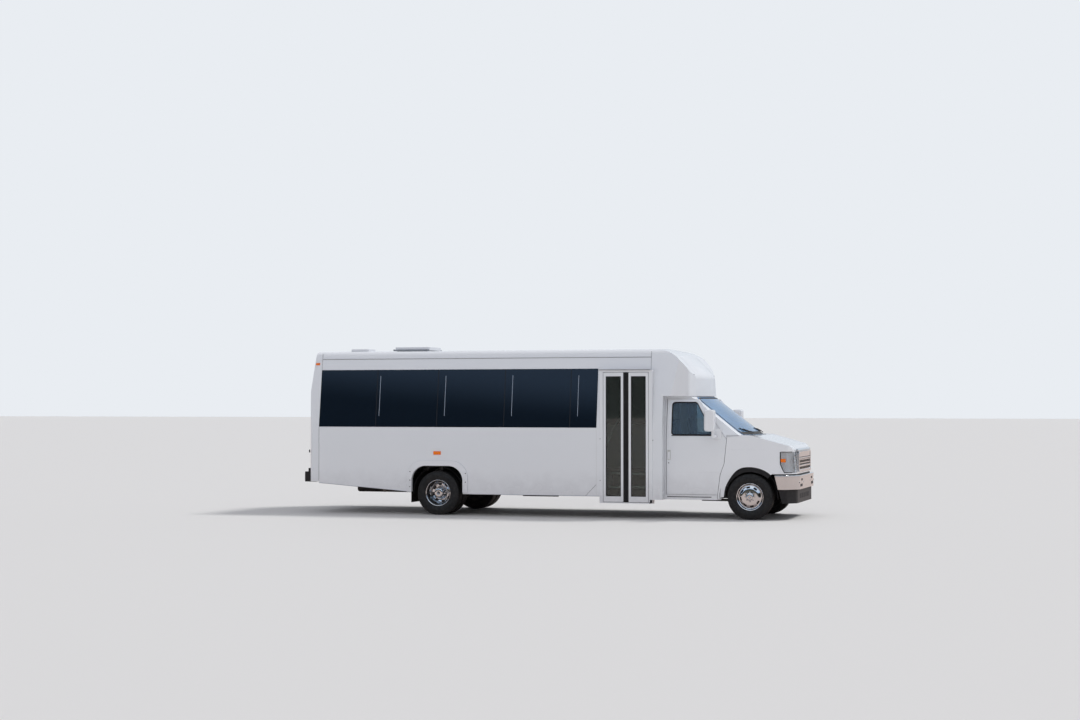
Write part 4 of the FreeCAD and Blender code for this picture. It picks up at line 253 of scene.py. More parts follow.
finishes = {
    "body_white": gloss_panel("Sprayed white body panel", "#E9EBEE", "#CBCBCE"),
    "cab_white": gloss_panel("Factory white cab enamel", "#ECEEF1", "#CBCBCE", 0.8, 0.1),
    "dark_glass": pane("Privacy glass", "#0D1926", 0.0, 0.03, 0.5),
    "door_glass": pane("Green-tinted door glass", "#B3C2BE", 0.96),
    "cab_glass": pane("Light-tinted cab glass", "#93AAB6", 0.95),
    "screen_glass": pane("Laminated windshield glass", "#7DB0DC", 0.55, 0.02, 0.7),
    "mirror_glass": metal("Silvered mirror glass", "#D4DADF", "#CCD3DA", 0.03, 300, (1, 1, 1), 0.0),
    "rubber": moulded("Extruded door rubber", "#0B0B0D", "#151517", 0.62, 2.5, 0.05),
    "tyre": tread_rubber("Tyre rubber", "#121314", "#2A2927"),
    "chrome": metal("Chromium plate", "#DDE0E3", "#D2D5D9", 0.06, 240, (1, 1, 1), 0.05),
    "aluminium": metal("Anodised aluminium extrusion", "#C9CCD0", "#BBBEC3", 0.34, 1.5, (1, 1, 0.02)),
    "steel": metal("Aluminised exhaust steel", "#8B8A86", "#5E5A54", 0.45, 30, (1, 1, 1), 0.1),
    "bright_steel": metal("Zinc-plated fastener steel", "#A9ABAD", "#8E9093", 0.3, 6, (1, 1, 1), 0.02),
    "black_steel": coated_steel("Black chassis paint", "#151517", "#3A3630", 0.5),
    "cast_iron": coated_steel("Cast iron, painted black", "#1D1D1E", "#43392F", 0.65),
    "black_plastic": moulded("Black moulded polypropylene", "#0D0E10", "#16171A", 0.5),
    "grey_plastic": moulded("Grey dashboard plastic", "#5B5D61", "#54565A", 0.6),
    "light_plastic": moulded("Pale trim plastic", "#C9C9C6", "#BDBDB9", 0.5),
    "floor": ribbed_floor("Ribbed vinyl floor", "#3B3C3F", "#55544F"),
    "cloth": woven("Blue-grey seat cloth", "#3A4254", "#59617A"),
    "lamp_clear": lens("Clear polycarbonate lens", "#EDF2F5", 0.95, 30.0, 0.1),
    "lamp_amber": lens("Amber acrylic lens", "#FF7D0A", 0.1),
    "lamp_red": lens("Red acrylic lens", "#B01410", 0.2),
    # the reflector's near-white base is painted brightness, standing in for the light that its metallised
    # face reflects
    "reflector": base_material("Reflector with painted brightness", "#FBFBFC", 0.3, Metallic=0.15)[0],
}


# Meshes.

def hand_over(item, finish, body, replaced=()):
    """Gives a finished piece its material and slot, and sets it on the body that carries it."""
    item.data.materials.clear()
    item.data.materials.append(finishes[finish])
    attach(item, body)
    if replaced:
        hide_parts(*replaced)
    made[item.name] = item
    return item


def new_object(name, mesh):
    """An object in the scene, at the origin."""
    item = bpy.data.objects.new(name, mesh)
    bpy.context.scene.collection.objects.link(item)
    return item


def mesh_object(name, shape):
    """An object from a bmesh, which is freed."""
    mesh = bpy.data.meshes.new(name)
    shape.to_mesh(mesh)
    shape.free()
    return new_object(name, mesh)


def settle(item):
    """Turns an object's modifiers into its mesh."""
    bpy.context.view_layer.update()
    graph = bpy.context.evaluated_depsgraph_get()
    mesh = bpy.data.meshes.new_from_object(item.evaluated_get(graph))
    item.modifiers.clear()
    item.data = mesh
    return item


def smooth(item, degrees=35):
    """Shades an object smoothly, except at edges sharper than an angle."""
    item.data.shade_smooth()
    item.data.set_sharp_from_angle(angle=math.radians(degrees))
    return item


def soften(item, width, segments=2, degrees=28):
    """Rounds an object's sharp edges by a real radius and keeps its flats looking flat."""
    bevel = item.modifiers.new("Edges", "BEVEL")
    bevel.width = width
    bevel.segments = segments
    bevel.limit_method = "ANGLE"
    bevel.angle_limit = math.radians(degrees)
    bevel.use_clamp_overlap = True
    bevel.miter_outer = "MITER_ARC"
    settle(item)
    smooth(item)
    weigh = item.modifiers.new("Normals", "WEIGHTED_NORMAL")
    weigh.keep_sharp = True
    return settle(item)


def solid_of(node, joined=True):
    """A bmesh of a CAD node, with its points merged and, where that is wanted, its flat facets joined."""
    shape = bmesh.new()
    shape.from_mesh(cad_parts[node].data)
    bmesh.ops.remove_doubles(shape, verts=shape.verts, dist=2e-5)
    if joined:
        bmesh.ops.dissolve_limit(shape, angle_limit=math.radians(0.6), verts=shape.verts, edges=shape.edges)
    return shape


def cut(shape, place, direction, **cleared):
    """Cuts a bmesh by a plane through a place."""
    bmesh.ops.bisect_plane(shape, geom=shape.verts[:] + shape.edges[:] + shape.faces[:], dist=1e-5,
                           plane_co=place, plane_no=direction, **cleared)


def thicken(item, thickness, offset):
    """Gives a sheet its wall."""
    wall = item.modifiers.new("Wall", "SOLIDIFY")
    wall.thickness = thickness
    wall.offset = offset
    return settle(item)


def bow(shape):
    """Bends the front cap's flat face back towards its corners, as the moulding is bowed in plan."""
    half_face = 0.7
    for across in (-0.7, -0.6, -0.48, -0.36, -0.24, -0.12, 0.0, 0.12, 0.24, 0.36, 0.48, 0.6, 0.7):
        cut(shape, (0, across, 0), (0, 1, 0))
    start, end = 2.30, 2.7345
    middle_back, corner_back = 0.040, 0.135
    for vertex in shape.verts:
        share = min(1.0, max(0.0, (vertex.co.x - start) / (end - start)))
        towards_corner = min(1.0, (abs(vertex.co.y) / half_face) ** 2)
        vertex.co.x -= (middle_back + corner_back * towards_corner) * share


def round_mirror(shape):
    """Rounds the mirror's shell on a cab door, which is all that stands this far out and up."""
    outside, above, sharp = 1.1, 1.42, 0.5
    shell = [edge for edge in shape.edges
             if all(abs(vertex.co.y) > outside and vertex.co.z > above for vertex in edge.verts)
             and len(edge.link_faces) == 2 and edge.calc_face_angle() > sharp]
    bmesh.ops.bevel(shape, geom=shell, offset=0.022, segments=5, profile=0.5, affect="EDGES",
                    clamp_overlap=True)


def lean_ends(shape):
    """Slants the ends of the bumper and the air dam forwards as they go down, clear of the wheel."""
    ends_behind, top, slant = 3.92, 0.70, 0.272
    for vertex in shape.verts:
        if vertex.co.x < ends_behind:
            vertex.co.x += slant * max(0.0, top - vertex.co.z)


def panel_copy(node, name, finish, body, width=0.004, segments=2):
    """A CAD panel with its edges rounded, in place of the plain one. The grille's facets stay as they
    are, because joining them would close some of its openings."""
    shape = solid_of(node, node != "grille")
    if node.startswith("cab_door"):
        round_mirror(shape)
    if node == "front_cap":
        bow(shape)
    if node in ("front_bumper", "air_dam"):
        lean_ends(shape)
    item = mesh_object(name, shape)
    soften(item, width, segments)
    return hand_over(item, finish, body, (node,))


def lathe(profile, centre, steps=96, axis="Y", closed=False):
    """A bmesh turned from a table of (along, radius) about an axis through a centre."""
    shape = bmesh.new()
    rings = []
    for along, radius in profile:
        ring = []
        for step in range(steps if radius > 1e-6 else 1):
            turn = math.tau * step / steps
            across, up = radius * math.cos(turn), radius * math.sin(turn)
            spot = {"X": (along, across, up), "Y": (across, along, up), "Z": (across, up, along)}[axis]
            ring.append(shape.verts.new(Vector(spot) + Vector(centre)))
        rings.append(ring)
    if closed:
        rings.append(rings[0])
    for before, after in zip(rings, rings[1:]):
        count = max(len(before), len(after))
        if count == 1:
            continue
        for step in range(count):
            following = (step + 1) % count
            corners = [before[step % len(before)], before[following % len(before)],
                       after[following % len(after)], after[step % len(after)]]
            unique = list(dict.fromkeys(corners))
            if len(unique) > 2:
                shape.faces.new(unique)
    bmesh.ops.recalc_face_normals(shape, faces=shape.faces)
    return shape


def block(shape, low, high):
    """Adds a box between two corners to a bmesh."""
    spots = [shape.verts.new((x, y, z)) for x in (low[0], high[0]) for y in (low[1], high[1])
             for z in (low[2], high[2])]
    for corners in BOX_FACES:
        shape.faces.new([spots[number] for number in corners])
    return shape


def side_box(sign, along, across, up):
    """The two corners of a box on one side, from its two places along, off the middle and up."""
    low, high = sorted((sign * across[0], sign * across[1]))
    return (along[0], low, up[0]), (along[1], high, up[1])


def bar_of_rows(shape, rows):
    """Closes a bar round four rows of points in a bmesh."""
    last = len(rows[0]) - 1
    for first, second in zip(BAR_ROUND, BAR_ROUND[1:] + BAR_ROUND[:1]):
        for step in range(last):
            shape.faces.new([rows[first][step], rows[first][step + 1],
                             rows[second][step + 1], rows[second][step]])
    for end in (0, last):
        shape.faces.new([rows[number][end] for number in BAR_ROUND])
    bmesh.ops.recalc_face_normals(shape, faces=shape.faces)


def blocks(name, table, finish, body, width=0.002, segments=2):
    """Several rounded boxes as one piece, each given by its lowest and highest corner."""
    shape = bmesh.new()
    for low, high in table:
        block(shape, low, high)
    bmesh.ops.recalc_face_normals(shape, faces=shape.faces)
    item = mesh_object(name, shape)
    soften(item, width, segments)
    return hand_over(item, finish, body)


def rod(name, points, radius, finish, body, smooth_line=False):
    """A round bar or bead along points, as a mesh."""
    curve = bpy.data.curves.new(name, "CURVE")
    curve.dimensions = "3D"
    line = curve.splines.new("NURBS" if smooth_line else "POLY")
    line.points.add(len(points) - 1)
    for spot, point in zip(line.points, points):
        spot.co = (*point, 1)
    if smooth_line:
        line.order_u = 3
        line.use_endpoint_u = True
    curve.resolution_u = 8
    curve.bevel_depth = radius
    curve.bevel_resolution = 4
    curve.use_fill_caps = True
    item = new_object(name, curve)
    bpy.context.view_layer.update()
    mesh = bpy.data.meshes.new_from_object(item.evaluated_get(bpy.context.evaluated_depsgraph_get()))
    bpy.data.objects.remove(item)
    item = new_object(name, mesh)
    smooth(item, 45)
    return hand_over(item, finish, body)


def prism(shape, near, far):
    """Adds a closed plate to a bmesh between two outlines of as many points."""
    ends = [[shape.verts.new(spot) for spot in outline] for outline in (near, far)]
    shape.faces.new(ends[0])
    shape.faces.new(list(reversed(ends[1])))
    for number in range(len(near)):
        following = (number + 1) % len(near)
        shape.faces.new([ends[0][following], ends[0][number], ends[1][number], ends[1][following]])


def slab(name, outline, low, high, axis, finish, body, width=0.002, segments=2):
    """A plate from an outline, between two levels along the Y or the Z axis."""
    shape = bmesh.new()
    ends = []
    for level in (low, high):
        ends.append([(first, level, second) if axis == "Y" else (first, second, level)
                     for first, second in outline])
    prism(shape, *ends)
    bmesh.ops.recalc_face_normals(shape, faces=shape.faces)
    item = mesh_object(name, shape)
    soften(item, width, segments)
    return hand_over(item, finish, body)


# Repeats by Geometry Nodes.

def group_tree(name, inputs):
    """An empty Geometry Nodes tree with named inputs, given as (name, kind, default)."""
    tree = bpy.data.node_groups.new(name, "GeometryNodeTree")
    tree.interface.new_socket("Geometry", in_out="INPUT", socket_type="NodeSocketGeometry")
    for label, kind, default in inputs:
        socket = tree.interface.new_socket(label, in_out="INPUT", socket_type="NodeSocket" + kind)
        if default is not None:
            socket.default_value = default
    tree.interface.new_socket("Geometry", in_out="OUTPUT", socket_type="NodeSocketGeometry")
    return tree, add_node(tree, "NodeGroupInput"), add_node(tree, "NodeGroupOutput")


def close_tree(tree, leaving, geometry, material):
    """Ends a tree in Realize Instances and Set Material."""
    solid = add_node(tree, "GeometryNodeRealizeInstances", {}, {"Geometry": geometry})
    painted = add_node(tree, "GeometryNodeSetMaterial", {}, {"Geometry": solid.outputs["Geometry"],
                                                             "Material": material})
    tree.links.new(painted.outputs["Geometry"], leaving.inputs["Geometry"])


def screw_tree():
    """Pan-head screws on the points of a mesh, each standing along its point's normal."""
    tree, entering, leaving = group_tree("Screws", (
        ("Radius", "Float", 0.006), ("Height", "Float", 0.003), ("Sides", "Int", 12),
        ("Finish", "Material", None)))
    head = add_node(tree, "GeometryNodeMeshCylinder", {}, {
        "Vertices": entering.outputs["Sides"], "Radius": entering.outputs["Radius"],
        "Depth": entering.outputs["Height"]})
    crown = add_node(tree, "GeometryNodeMeshCone", {}, {
        "Vertices": entering.outputs["Sides"], "Radius Bottom": entering.outputs["Radius"]})
    # the crown on the head: its top radius and its height, and how far up it sits
    parts = []
    for share, size in ((0.55, "Radius"), (0.45, "Height"), (0.5, "Height")):
        parts.append(add_node(tree, "ShaderNodeMath", {"operation": "MULTIPLY", 1: share},
                              {0: entering.outputs[size]}).outputs[0])
    raised = add_node(tree, "ShaderNodeCombineXYZ", {}, {"Z": parts[2]})
    tree.links.new(parts[0], crown.inputs["Radius Top"])
    tree.links.new(parts[1], crown.inputs["Depth"])
    up = add_node(tree, "GeometryNodeTransform", {}, {"Geometry": crown.outputs["Mesh"],
                                                      "Translation": raised.outputs["Vector"]})
    whole = add_node(tree, "GeometryNodeJoinGeometry")
    tree.links.new(head.outputs["Mesh"], whole.inputs["Geometry"])
    tree.links.new(up.outputs["Geometry"], whole.inputs["Geometry"])
    normal = add_node(tree, "GeometryNodeInputNamedAttribute",
                      {"data_type": "FLOAT_VECTOR", "Name": "facing"})
    turn = add_node(tree, "FunctionNodeAlignRotationToVector", {"axis": "Z"},
                    {"Vector": normal.outputs["Attribute"]})
    placed = add_node(tree, "GeometryNodeInstanceOnPoints", {}, {
        "Points": entering.outputs["Geometry"], "Instance": whole.outputs["Geometry"],
        "Rotation": turn.outputs["Rotation"]})
    close_tree(tree, leaving, placed.outputs["Instances"], entering.outputs["Finish"])
    return tree


def ring_tree():
    """Copies of a mesh round the Y axis through a centre."""
    tree, entering, leaving = group_tree("Round the axle", (
        ("Count", "Int", 8), ("Centre", "Vector", (0, 0, 0)), ("Finish", "Material", None)))
    points = add_node(tree, "GeometryNodePoints", {}, {"Count": entering.outputs["Count"],
                                                       "Position": entering.outputs["Centre"]})
    number = add_node(tree, "GeometryNodeInputIndex")
    share = add_node(tree, "ShaderNodeMath", {"operation": "DIVIDE"}, {
        0: number.outputs["Index"], 1: entering.outputs["Count"]})
    angle = add_node(tree, "ShaderNodeMath", {"operation": "MULTIPLY", 1: math.tau}, {0: share.outputs[0]})
    turn = add_node(tree, "ShaderNodeCombineXYZ", {}, {"Y": angle.outputs[0]})
    placed = add_node(tree, "GeometryNodeInstanceOnPoints", {}, {
        "Points": points.outputs["Points"], "Instance": entering.outputs["Geometry"],
        "Rotation": turn.outputs["Vector"]})
    close_tree(tree, leaving, placed.outputs["Instances"], entering.outputs["Finish"])
    return tree


def row_tree():
    """Copies of a mesh in a straight row."""
    tree, entering, leaving = group_tree("Straight row", (
        ("Count", "Int", 8), ("Step", "Vector", (0.02, 0, 0)), ("Finish", "Material", None)))
    line = add_node(tree, "GeometryNodeMeshLine", {"mode": "OFFSET"}, {
        "Count": entering.outputs["Count"], "Offset": entering.outputs["Step"]})
    placed = add_node(tree, "GeometryNodeInstanceOnPoints", {}, {
        "Points": line.outputs["Mesh"], "Instance": entering.outputs["Geometry"]})
    close_tree(tree, leaving, placed.outputs["Instances"], entering.outputs["Finish"])
    return tree


trees = {"screws": screw_tree(), "ring": ring_tree(), "row": row_tree()}


def run_tree(item, kind, finish, **values):
    """Runs a tree on an object with its inputs set by name, and keeps the result as a plain mesh."""
    tree = trees[kind]
    modifier = item.modifiers.new(kind, "NODES")
    modifier.node_group = tree
    values["Finish"] = finishes[finish]
    for socket in tree.interface.items_tree:
        if socket.in_out == "INPUT" and socket.name in values:
            modifier[socket.identifier] = values[socket.name]
    return settle(item)


def screws(name, table, radius, height, finish, body, sides=12):
    """Screw heads at a table of (place, direction)."""
    mesh = bpy.data.meshes.new(name)
    mesh.from_pydata([place for place, direction in table], [], [])
    facing = mesh.attributes.new("facing", "FLOAT_VECTOR", "POINT")
    facing.data.foreach_set("vector", [part for place, direction in table for part in direction])
    item = run_tree(new_object(name, mesh), "screws", finish, Radius=radius, Height=height, Sides=sides)
    smooth(item, 40)
    return hand_over(item, finish, body)


def round_the_axle(name, shape, centre, count, finish, body, degrees=35):
    """Copies of a bmesh, drawn about the origin, round the Y axis through a centre."""
    item = run_tree(mesh_object(name, shape), "ring", finish, Count=count, Centre=centre)
    smooth(item, degrees)
    return hand_over(item, finish, body)


def in_a_row(name, shape, count, step, finish, body):
    """Copies of a bmesh in a straight row."""
    item = run_tree(mesh_object(name, shape), "row", finish, Count=count, Step=step)
    smooth(item, 35)
    return hand_over(item, finish, body)


# Sizes and colours that a user would change.

class BusLooks(bpy.types.PropertyGroup):
    edge_radius: bpy.props.FloatProperty(
        name="Panel edge radius", description="How far the body panels' edges are rounded", default=0.006,
        min=0.001, max=0.02, unit="LENGTH")
    tread_blocks: bpy.props.IntProperty(
        name="Tread blocks", description="Blocks round each row of a tyre's tread",
        default=60, min=24, max=120)
    hand_holes: bpy.props.IntProperty(
        name="Hand holes", description="Ventilation holes round each wheel cover", default=8, min=4, max=12)
    gasket: bpy.props.FloatProperty(
        name="Window gasket", description="Radius of the black rubber round the cab windows", default=0.009,
        min=0.003, max=0.03, unit="LENGTH")


class StageLooks(bpy.types.PropertyGroup):
    floor_colour: bpy.props.FloatVectorProperty(
        name="Floor colour", description="Colour of the plain floor", subtype="COLOR", size=3,
        default=hex_colour("#E6E4E0")[:3], min=0, max=1)
    floor_size: bpy.props.FloatProperty(
        name="Floor size", description="Length of each side of the floor",
        default=400.0, min=20, unit="LENGTH")
    sun_strength: bpy.props.FloatProperty(
        name="Key light", description="Strength of the soft key light", default=1.6, min=0)
    sky_strength: bpy.props.FloatProperty(
        name="Fill light", description="Strength of the even light from all round", default=0.49, min=0)


# The pieces.

def aft(distance):
    """The x of a point at a distance behind the front axle."""
    return front_axle.x - distance


def cab_side(level, out):
    """Half of the cab's width at a height and a distance out from it; above the belt its sides lean in."""
    half_width, belt, head_room, lean_in = 1.0, 1.3, 0.7, 0.110
    return half_width - lean_in * max(0.0, level - belt) / head_room + out


def paint(finish, *nodes):
    """Gives CAD nodes whose shape is right a finished material."""
    for node in nodes:
        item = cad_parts[node]
        item.data.materials.clear()
        item.data.materials.append(finishes[finish])


class BUS_OT_panels(bpy.types.Operator):
    """Rounds the edges of the body's panels and paints them"""

    bl_idname = "bus.panels"
    bl_label = "Body panels"

    def execute(self, context):
        radius = context.scene.bus_looks.edge_radius
        # node, finish, body, edge radius
        for node, finish, body, width in (
                ("side_wall_left", "body_white", "coach", radius),
                ("side_wall_right", "body_white", "coach", radius),
                ("roof", "body_white", "coach", radius),
                ("rear_cap", "body_white", "coach", radius * 2),
                ("front_cap", "body_white", "coach", radius * 2),
                ("wheel_flares", "body_white", "coach", radius),
                ("cab_shell", "cab_white", "coach", 0.004),
                ("cab_door_left", "cab_white", "cab_door_left", 0.005),
                ("cab_door_right", "cab_white", "cab_door_right", 0.005),
                ("front_fenders", "cab_white", "coach", 0.006),
                ("hood", "cab_white", "hood", 0.008),
                ("rear_door", "body_white", "rear_door", 0.006),
                ("roof_hatch", "body_white", "roof_hatch", 0.010),
                ("rear_bumper", "black_plastic", "coach", 0.008),
                ("front_bumper", "chrome", "coach", 0.012),
                ("air_dam", "black_plastic", "coach", 0.010)):
            panel_copy(node, node + "_skin", finish, body, width)
        return {"FINISHED"}


class BUS_OT_underbody(bpy.types.Operator):
    """Finishes the chassis, axles, engine and everything else seen from below"""

    bl_idname = "bus.underbody"
    bl_label = "Underbody"

    def execute(self, context):
        for node, finish, body, width in (
                ("chassis_frame", "black_steel", "coach", 0.004),
                ("front_axle", "black_steel", "coach", 0.004),
                ("rear_axle", "cast_iron", "coach", 0.005),
                ("fuel_tank", "black_steel", "coach", 0.02),
                ("engine", "cast_iron", "coach", 0.01),
                ("knuckle_left", "cast_iron", "knuckle_left", 0.003),
                ("knuckle_right", "cast_iron", "knuckle_right", 0.003),
                ("coach_floor", "floor", "coach", 0.003),
                ("stepwell", "floor", "coach", 0.003),
                ("mud_flaps", "rubber", "coach", 0.002),
                ("dashboard", "grey_plastic", "coach", 0.015)):
            panel_copy(node, node + "_skin", finish, body, width)
        paint("cast_iron", "driveline")
        paint("steel", "exhaust")
        return {"FINISHED"}


class BUS_OT_glass(bpy.types.Operator):
    """Finishes the window band, its joints and every other pane"""

    bl_idname = "bus.glass"
    bl_label = "Glass"

    def execute(self, context):
        paint("dark_glass", "side_glass_left", "side_glass_right", "rear_door_glass")
        paint("door_glass", "entry_glass_front", "entry_glass_rear")
        paint("cab_glass", "cab_glass_left", "cab_glass_right")
        paint("screen_glass", "windshield")
        # the band's face: half of its width at the foot, the foot's height and how it leans in as it rises
        face, foot = 1.2184, 1.480
        lean = (1.218 - 1.093) / (2.455 - foot)
        for side, sign in SIDES:
            # what it is, finish, places behind the front axle, half of its width, its lower and upper end
            # and how far it stands off the glass
            for kind, finish, joints, half, bottom, top, off in (
                    ("covers", "dark_glass", (6.450, 5.360, 4.180, 3.020), 0.022, 1.486, 2.449, 0.0006),
                    ("joints", "rubber", (6.406, 5.300, 4.108, 2.960), 0.005, 1.486, 2.449, 0.0010),
                    ("bars", "aluminium", (6.351, 5.166, 3.976, 2.830), 0.0045, 1.67, 2.35, 0.0016)):
                corners = ((-half, bottom), (half, bottom), (half, top), (-half, top))
                shape = bmesh.new()
                for joint in joints:
                    prism(shape, *[[(aft(joint) + along, sign * (face - lean * (z - foot) + out), z)
                                    for along, z in corners] for out in (0.0, off)])
                bmesh.ops.recalc_face_normals(shape, faces=shape.faces)
                hand_over(mesh_object("window_%s_%s" % (kind, side), shape), finish, "coach")
        return {"FINISHED"}


def tyre(name, centre, body, node):
    """A tyre with bulged sidewalls, ribs round them and a tread of blocks."""
    tread = 0.098
    # across from the tyre's middle, radius
    section = [(-0.088, 0.209), (-0.094, 0.216), (-0.097, 0.226), (-0.103, 0.240), (-0.108, 0.262),
               (-0.111, 0.288), (-0.1105, 0.305), (-0.109, 0.318), (-0.1075, 0.320), (-0.1065, 0.326),
               (-0.105, 0.336), (-0.1015, 0.3465), (-tread, 0.3545), (-tread + 0.012, 0.3600)]
    section += [(-along, radius) for along, radius in reversed(section)]
    section += [(0.084, 0.2055), (-0.084, 0.2055)]
    shape = lathe([(along + centre[1], radius) for along, radius in section],
                  (centre[0], 0, tyre_radius), 96, "Y", closed=True)
    carcass = mesh_object(name, shape)
    smooth(carcass, 40)
    hand_over(carcass, "tyre", body, (node,) if node else ())
    count = bpy.context.scene.bus_looks.tread_blocks
    pitch = math.tau / count
    groove, shoulder, shoulder_drop = 0.352, 0.09, 0.004
    rows = bmesh.new()
    # from, to, share of the pitch, slant, half a pitch on
    for start, end, share, slant, shift in (
            (-0.0975, -0.064, 0.80, 0.006, 0.0), (-0.058, -0.024, 0.86, -0.005, 0.5),
            (-0.018, 0.018, 0.88, 0.005, 0.0), (0.024, 0.058, 0.86, -0.005, 0.5),
            (0.064, 0.0975, 0.80, 0.006, 0.0)):
        spots = []
        for radius in (groove, tyre_radius):
            for across, sway in ((start, slant), (end, -slant)):
                edge = radius - (shoulder_drop if radius > groove and abs(across) > shoulder else 0.0)
                for turn in (-share / 2, share / 2):
                    angle = pitch * (turn + shift) + sway
                    spots.append(rows.verts.new((edge * math.sin(angle), across, edge * math.cos(angle))))
        for corners in BOX_FACES:
            rows.faces.new([spots[number] for number in corners])
    bmesh.ops.recalc_face_normals(rows, faces=rows.faces)
    round_the_axle(name + "_tread", rows, (centre[0], centre[1], tyre_radius), count, "tyre", body, 30)


def holed_cover(name, profile, hole_band, centre, sign, body, replaced):
    """A chromed wheel cover: turned from a profile, with faces left out for the holes, then made smooth."""
    steps_per_hole = 8
    steps = bpy.context.scene.bus_looks.hand_holes * steps_per_hole
    shape = bmesh.new()
    rings = []
    for along, radius in profile:
        rings.append([shape.verts.new((centre[0] + radius * math.cos(math.tau * step / steps),
                                       centre[1] + along * sign,
                                       centre[2] + radius * math.sin(math.tau * step / steps)))
                      for step in range(steps)])
    for number, (before, after) in enumerate(zip(rings, rings[1:])):
        for step in range(steps):
            if hole_band[0] <= number < hole_band[1] and step % steps_per_hole < steps_per_hole // 2:
                continue
            following = (step + 1) % steps
            shape.faces.new([before[step], before[following], after[following], after[step]])
    bmesh.ops.recalc_face_normals(shape, faces=shape.faces)
    outward = sum(face.normal.y * sign for face in shape.faces)
    if outward < 0:
        bmesh.ops.reverse_faces(shape, faces=shape.faces)
    item = mesh_object(name, shape)
    wall = item.modifiers.new("Wall", "SOLIDIFY")
    wall.thickness = 0.0022
    wall.offset = -1
    fine = item.modifiers.new("Fine", "SUBSURF")
    fine.levels = fine.render_levels = 1
    settle(item)
    smooth(item, 60)
    return hand_over(item, "chrome", body, replaced)


class BUS_OT_wheels(bpy.types.Operator):
    """Builds the tyres, chromed covers, hubs and lug nuts"""

    bl_idname = "bus.wheels"
    bl_label = "Wheels"

    def execute(self, context):
        for side, sign in SIDES:
            front = "front_wheel_" + side
            centre = middle("front_tyre_" + side)
            tyre("front_tyre_rubber_" + side, centre, front, "front_tyre_" + side)
            # along the axle outwards from the tyre's middle, radius
            holed_cover("front_cover_" + side, (
                (0.098, 0.2225), (0.1035, 0.2195), (0.101, 0.2120), (0.088, 0.2020), (0.074, 0.1930),
                (0.070, 0.1840), (0.078, 0.1700), (0.089, 0.1560), (0.096, 0.1420), (0.099, 0.1300),
                (0.100, 0.1180), (0.101, 0.0900), (0.102, 0.0600), (0.107, 0.0520), (0.118, 0.0490),
                (0.1215, 0.0440), (0.1225, 0.0300), (0.1225, 0.0110), (0.1190, 0.0095), (0.1190, 0.0010)),
                (6, 8), centre, sign, front, ("front_rim_" + side,))
            self.barrel("front_barrel_" + side, (
                (0.096, 0.2215), (0.085, 0.2080), (0.060, 0.1960), (-0.060, 0.1960), (-0.085, 0.2080),
                (-0.096, 0.2215), (-0.099, 0.2215), (-0.099, 0.2060), (-0.055, 0.1900), (0.052, 0.1900),
                (0.052, 0.0450), (0.060, 0.0450), (0.060, 0.1880), (0.090, 0.2000), (0.099, 0.2180)),
                centre, sign, front)
            self.nuts("front_nuts_" + side, centre, sign, 0.1015, 0.0760, front, 0.0115, 0.013)
            rear = "rear_wheels_" + side
            half_gap = 0.130
            low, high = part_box("rear_tyres_" + side)
            twins = {place: (rear_axle.x, (low.y + high.y) / 2 + sign * offset, rear_axle.z)
                     for place, offset in (("outer", half_gap), ("inner", -half_gap))}
            for place, centre in twins.items():
                tyre("rear_tyre_%s_%s" % (place, side), centre, rear,
                     "rear_tyres_" + side if place == "outer" else None)
            outer = twins["outer"]
            holed_cover("rear_cover_" + side, (
                (0.098, 0.2225), (0.1035, 0.2195), (0.101, 0.2120), (0.086, 0.2030), (0.050, 0.1985),
                (0.010, 0.1960), (-0.030, 0.1900), (-0.060, 0.1780), (-0.074, 0.1620), (-0.080, 0.1440),
                (-0.082, 0.1280), (-0.083, 0.1180), (-0.082, 0.1040), (-0.070, 0.0930), (-0.010, 0.0860),
                (0.050, 0.0810), (0.072, 0.0760), (0.080, 0.0680), (0.082, 0.0500), (0.083, 0.0260),
                (0.079, 0.0220), (0.060, 0.0210), (0.060, 0.0010)),
                (8, 10), outer, sign, rear, ("rear_rims_" + side,))
            for place, centre in twins.items():
                self.barrel("rear_barrel_%s_%s" % (place, side), (
                    (0.096, 0.2215), (0.085, 0.2080), (0.060, 0.2000), (-0.060, 0.2000), (-0.085, 0.2080),
                    (-0.096, 0.2215), (-0.099, 0.2215), (-0.099, 0.2060), (-0.096, 0.1960), (-0.096, 0.0500),
                    (-0.092, 0.0500), (-0.092, 0.1940), (0.050, 0.1950), (0.090, 0.2020), (0.096, 0.2180)),
                    centre, sign, rear)
            self.nuts("rear_nuts_" + side, Vector(outer), sign, -0.081, 0.1110, rear, 0.0105, 0.016)
            plug = lathe([(outer[1] + sign * along, radius) for along, radius in (
                (0.0605, 0.0001), (0.0625, 0.0205), (0.0590, 0.0205), (0.0585, 0.0001))],
                (outer[0], 0, outer[2]), 24, "Y", closed=True)
            hand_over(smooth(mesh_object("rear_hub_plug_" + side, plug)), "black_plastic", rear)
        return {"FINISHED"}

    def barrel(self, name, profile, centre, sign, body):
        """A wheel's painted rim and disc, behind its cover."""
        shape = lathe([(centre[1] + sign * along, radius) for along, radius in profile],
                      (centre[0], 0, centre[2]), 64, "Y", closed=True)
        hand_over(smooth(mesh_object(name, shape), 30), "black_steel", body)

    def nuts(self, name, centre, sign, along, ring, body, radius, height):
        """Chromed nut caps in a ring."""
        cap = lathe([(0.0, radius), (sign * height * 0.6, radius * 0.95), (sign * height * 0.9, radius * 0.7),
                     (sign * height, 0.0)], (0, 0, 0), 12, "Y")
        bmesh.ops.translate(cap, verts=cap.verts, vec=(0, 0, ring))
        round_the_axle(name, cap, (centre.x, centre.y + sign * along, centre.z), 8, "chrome", body, 40)


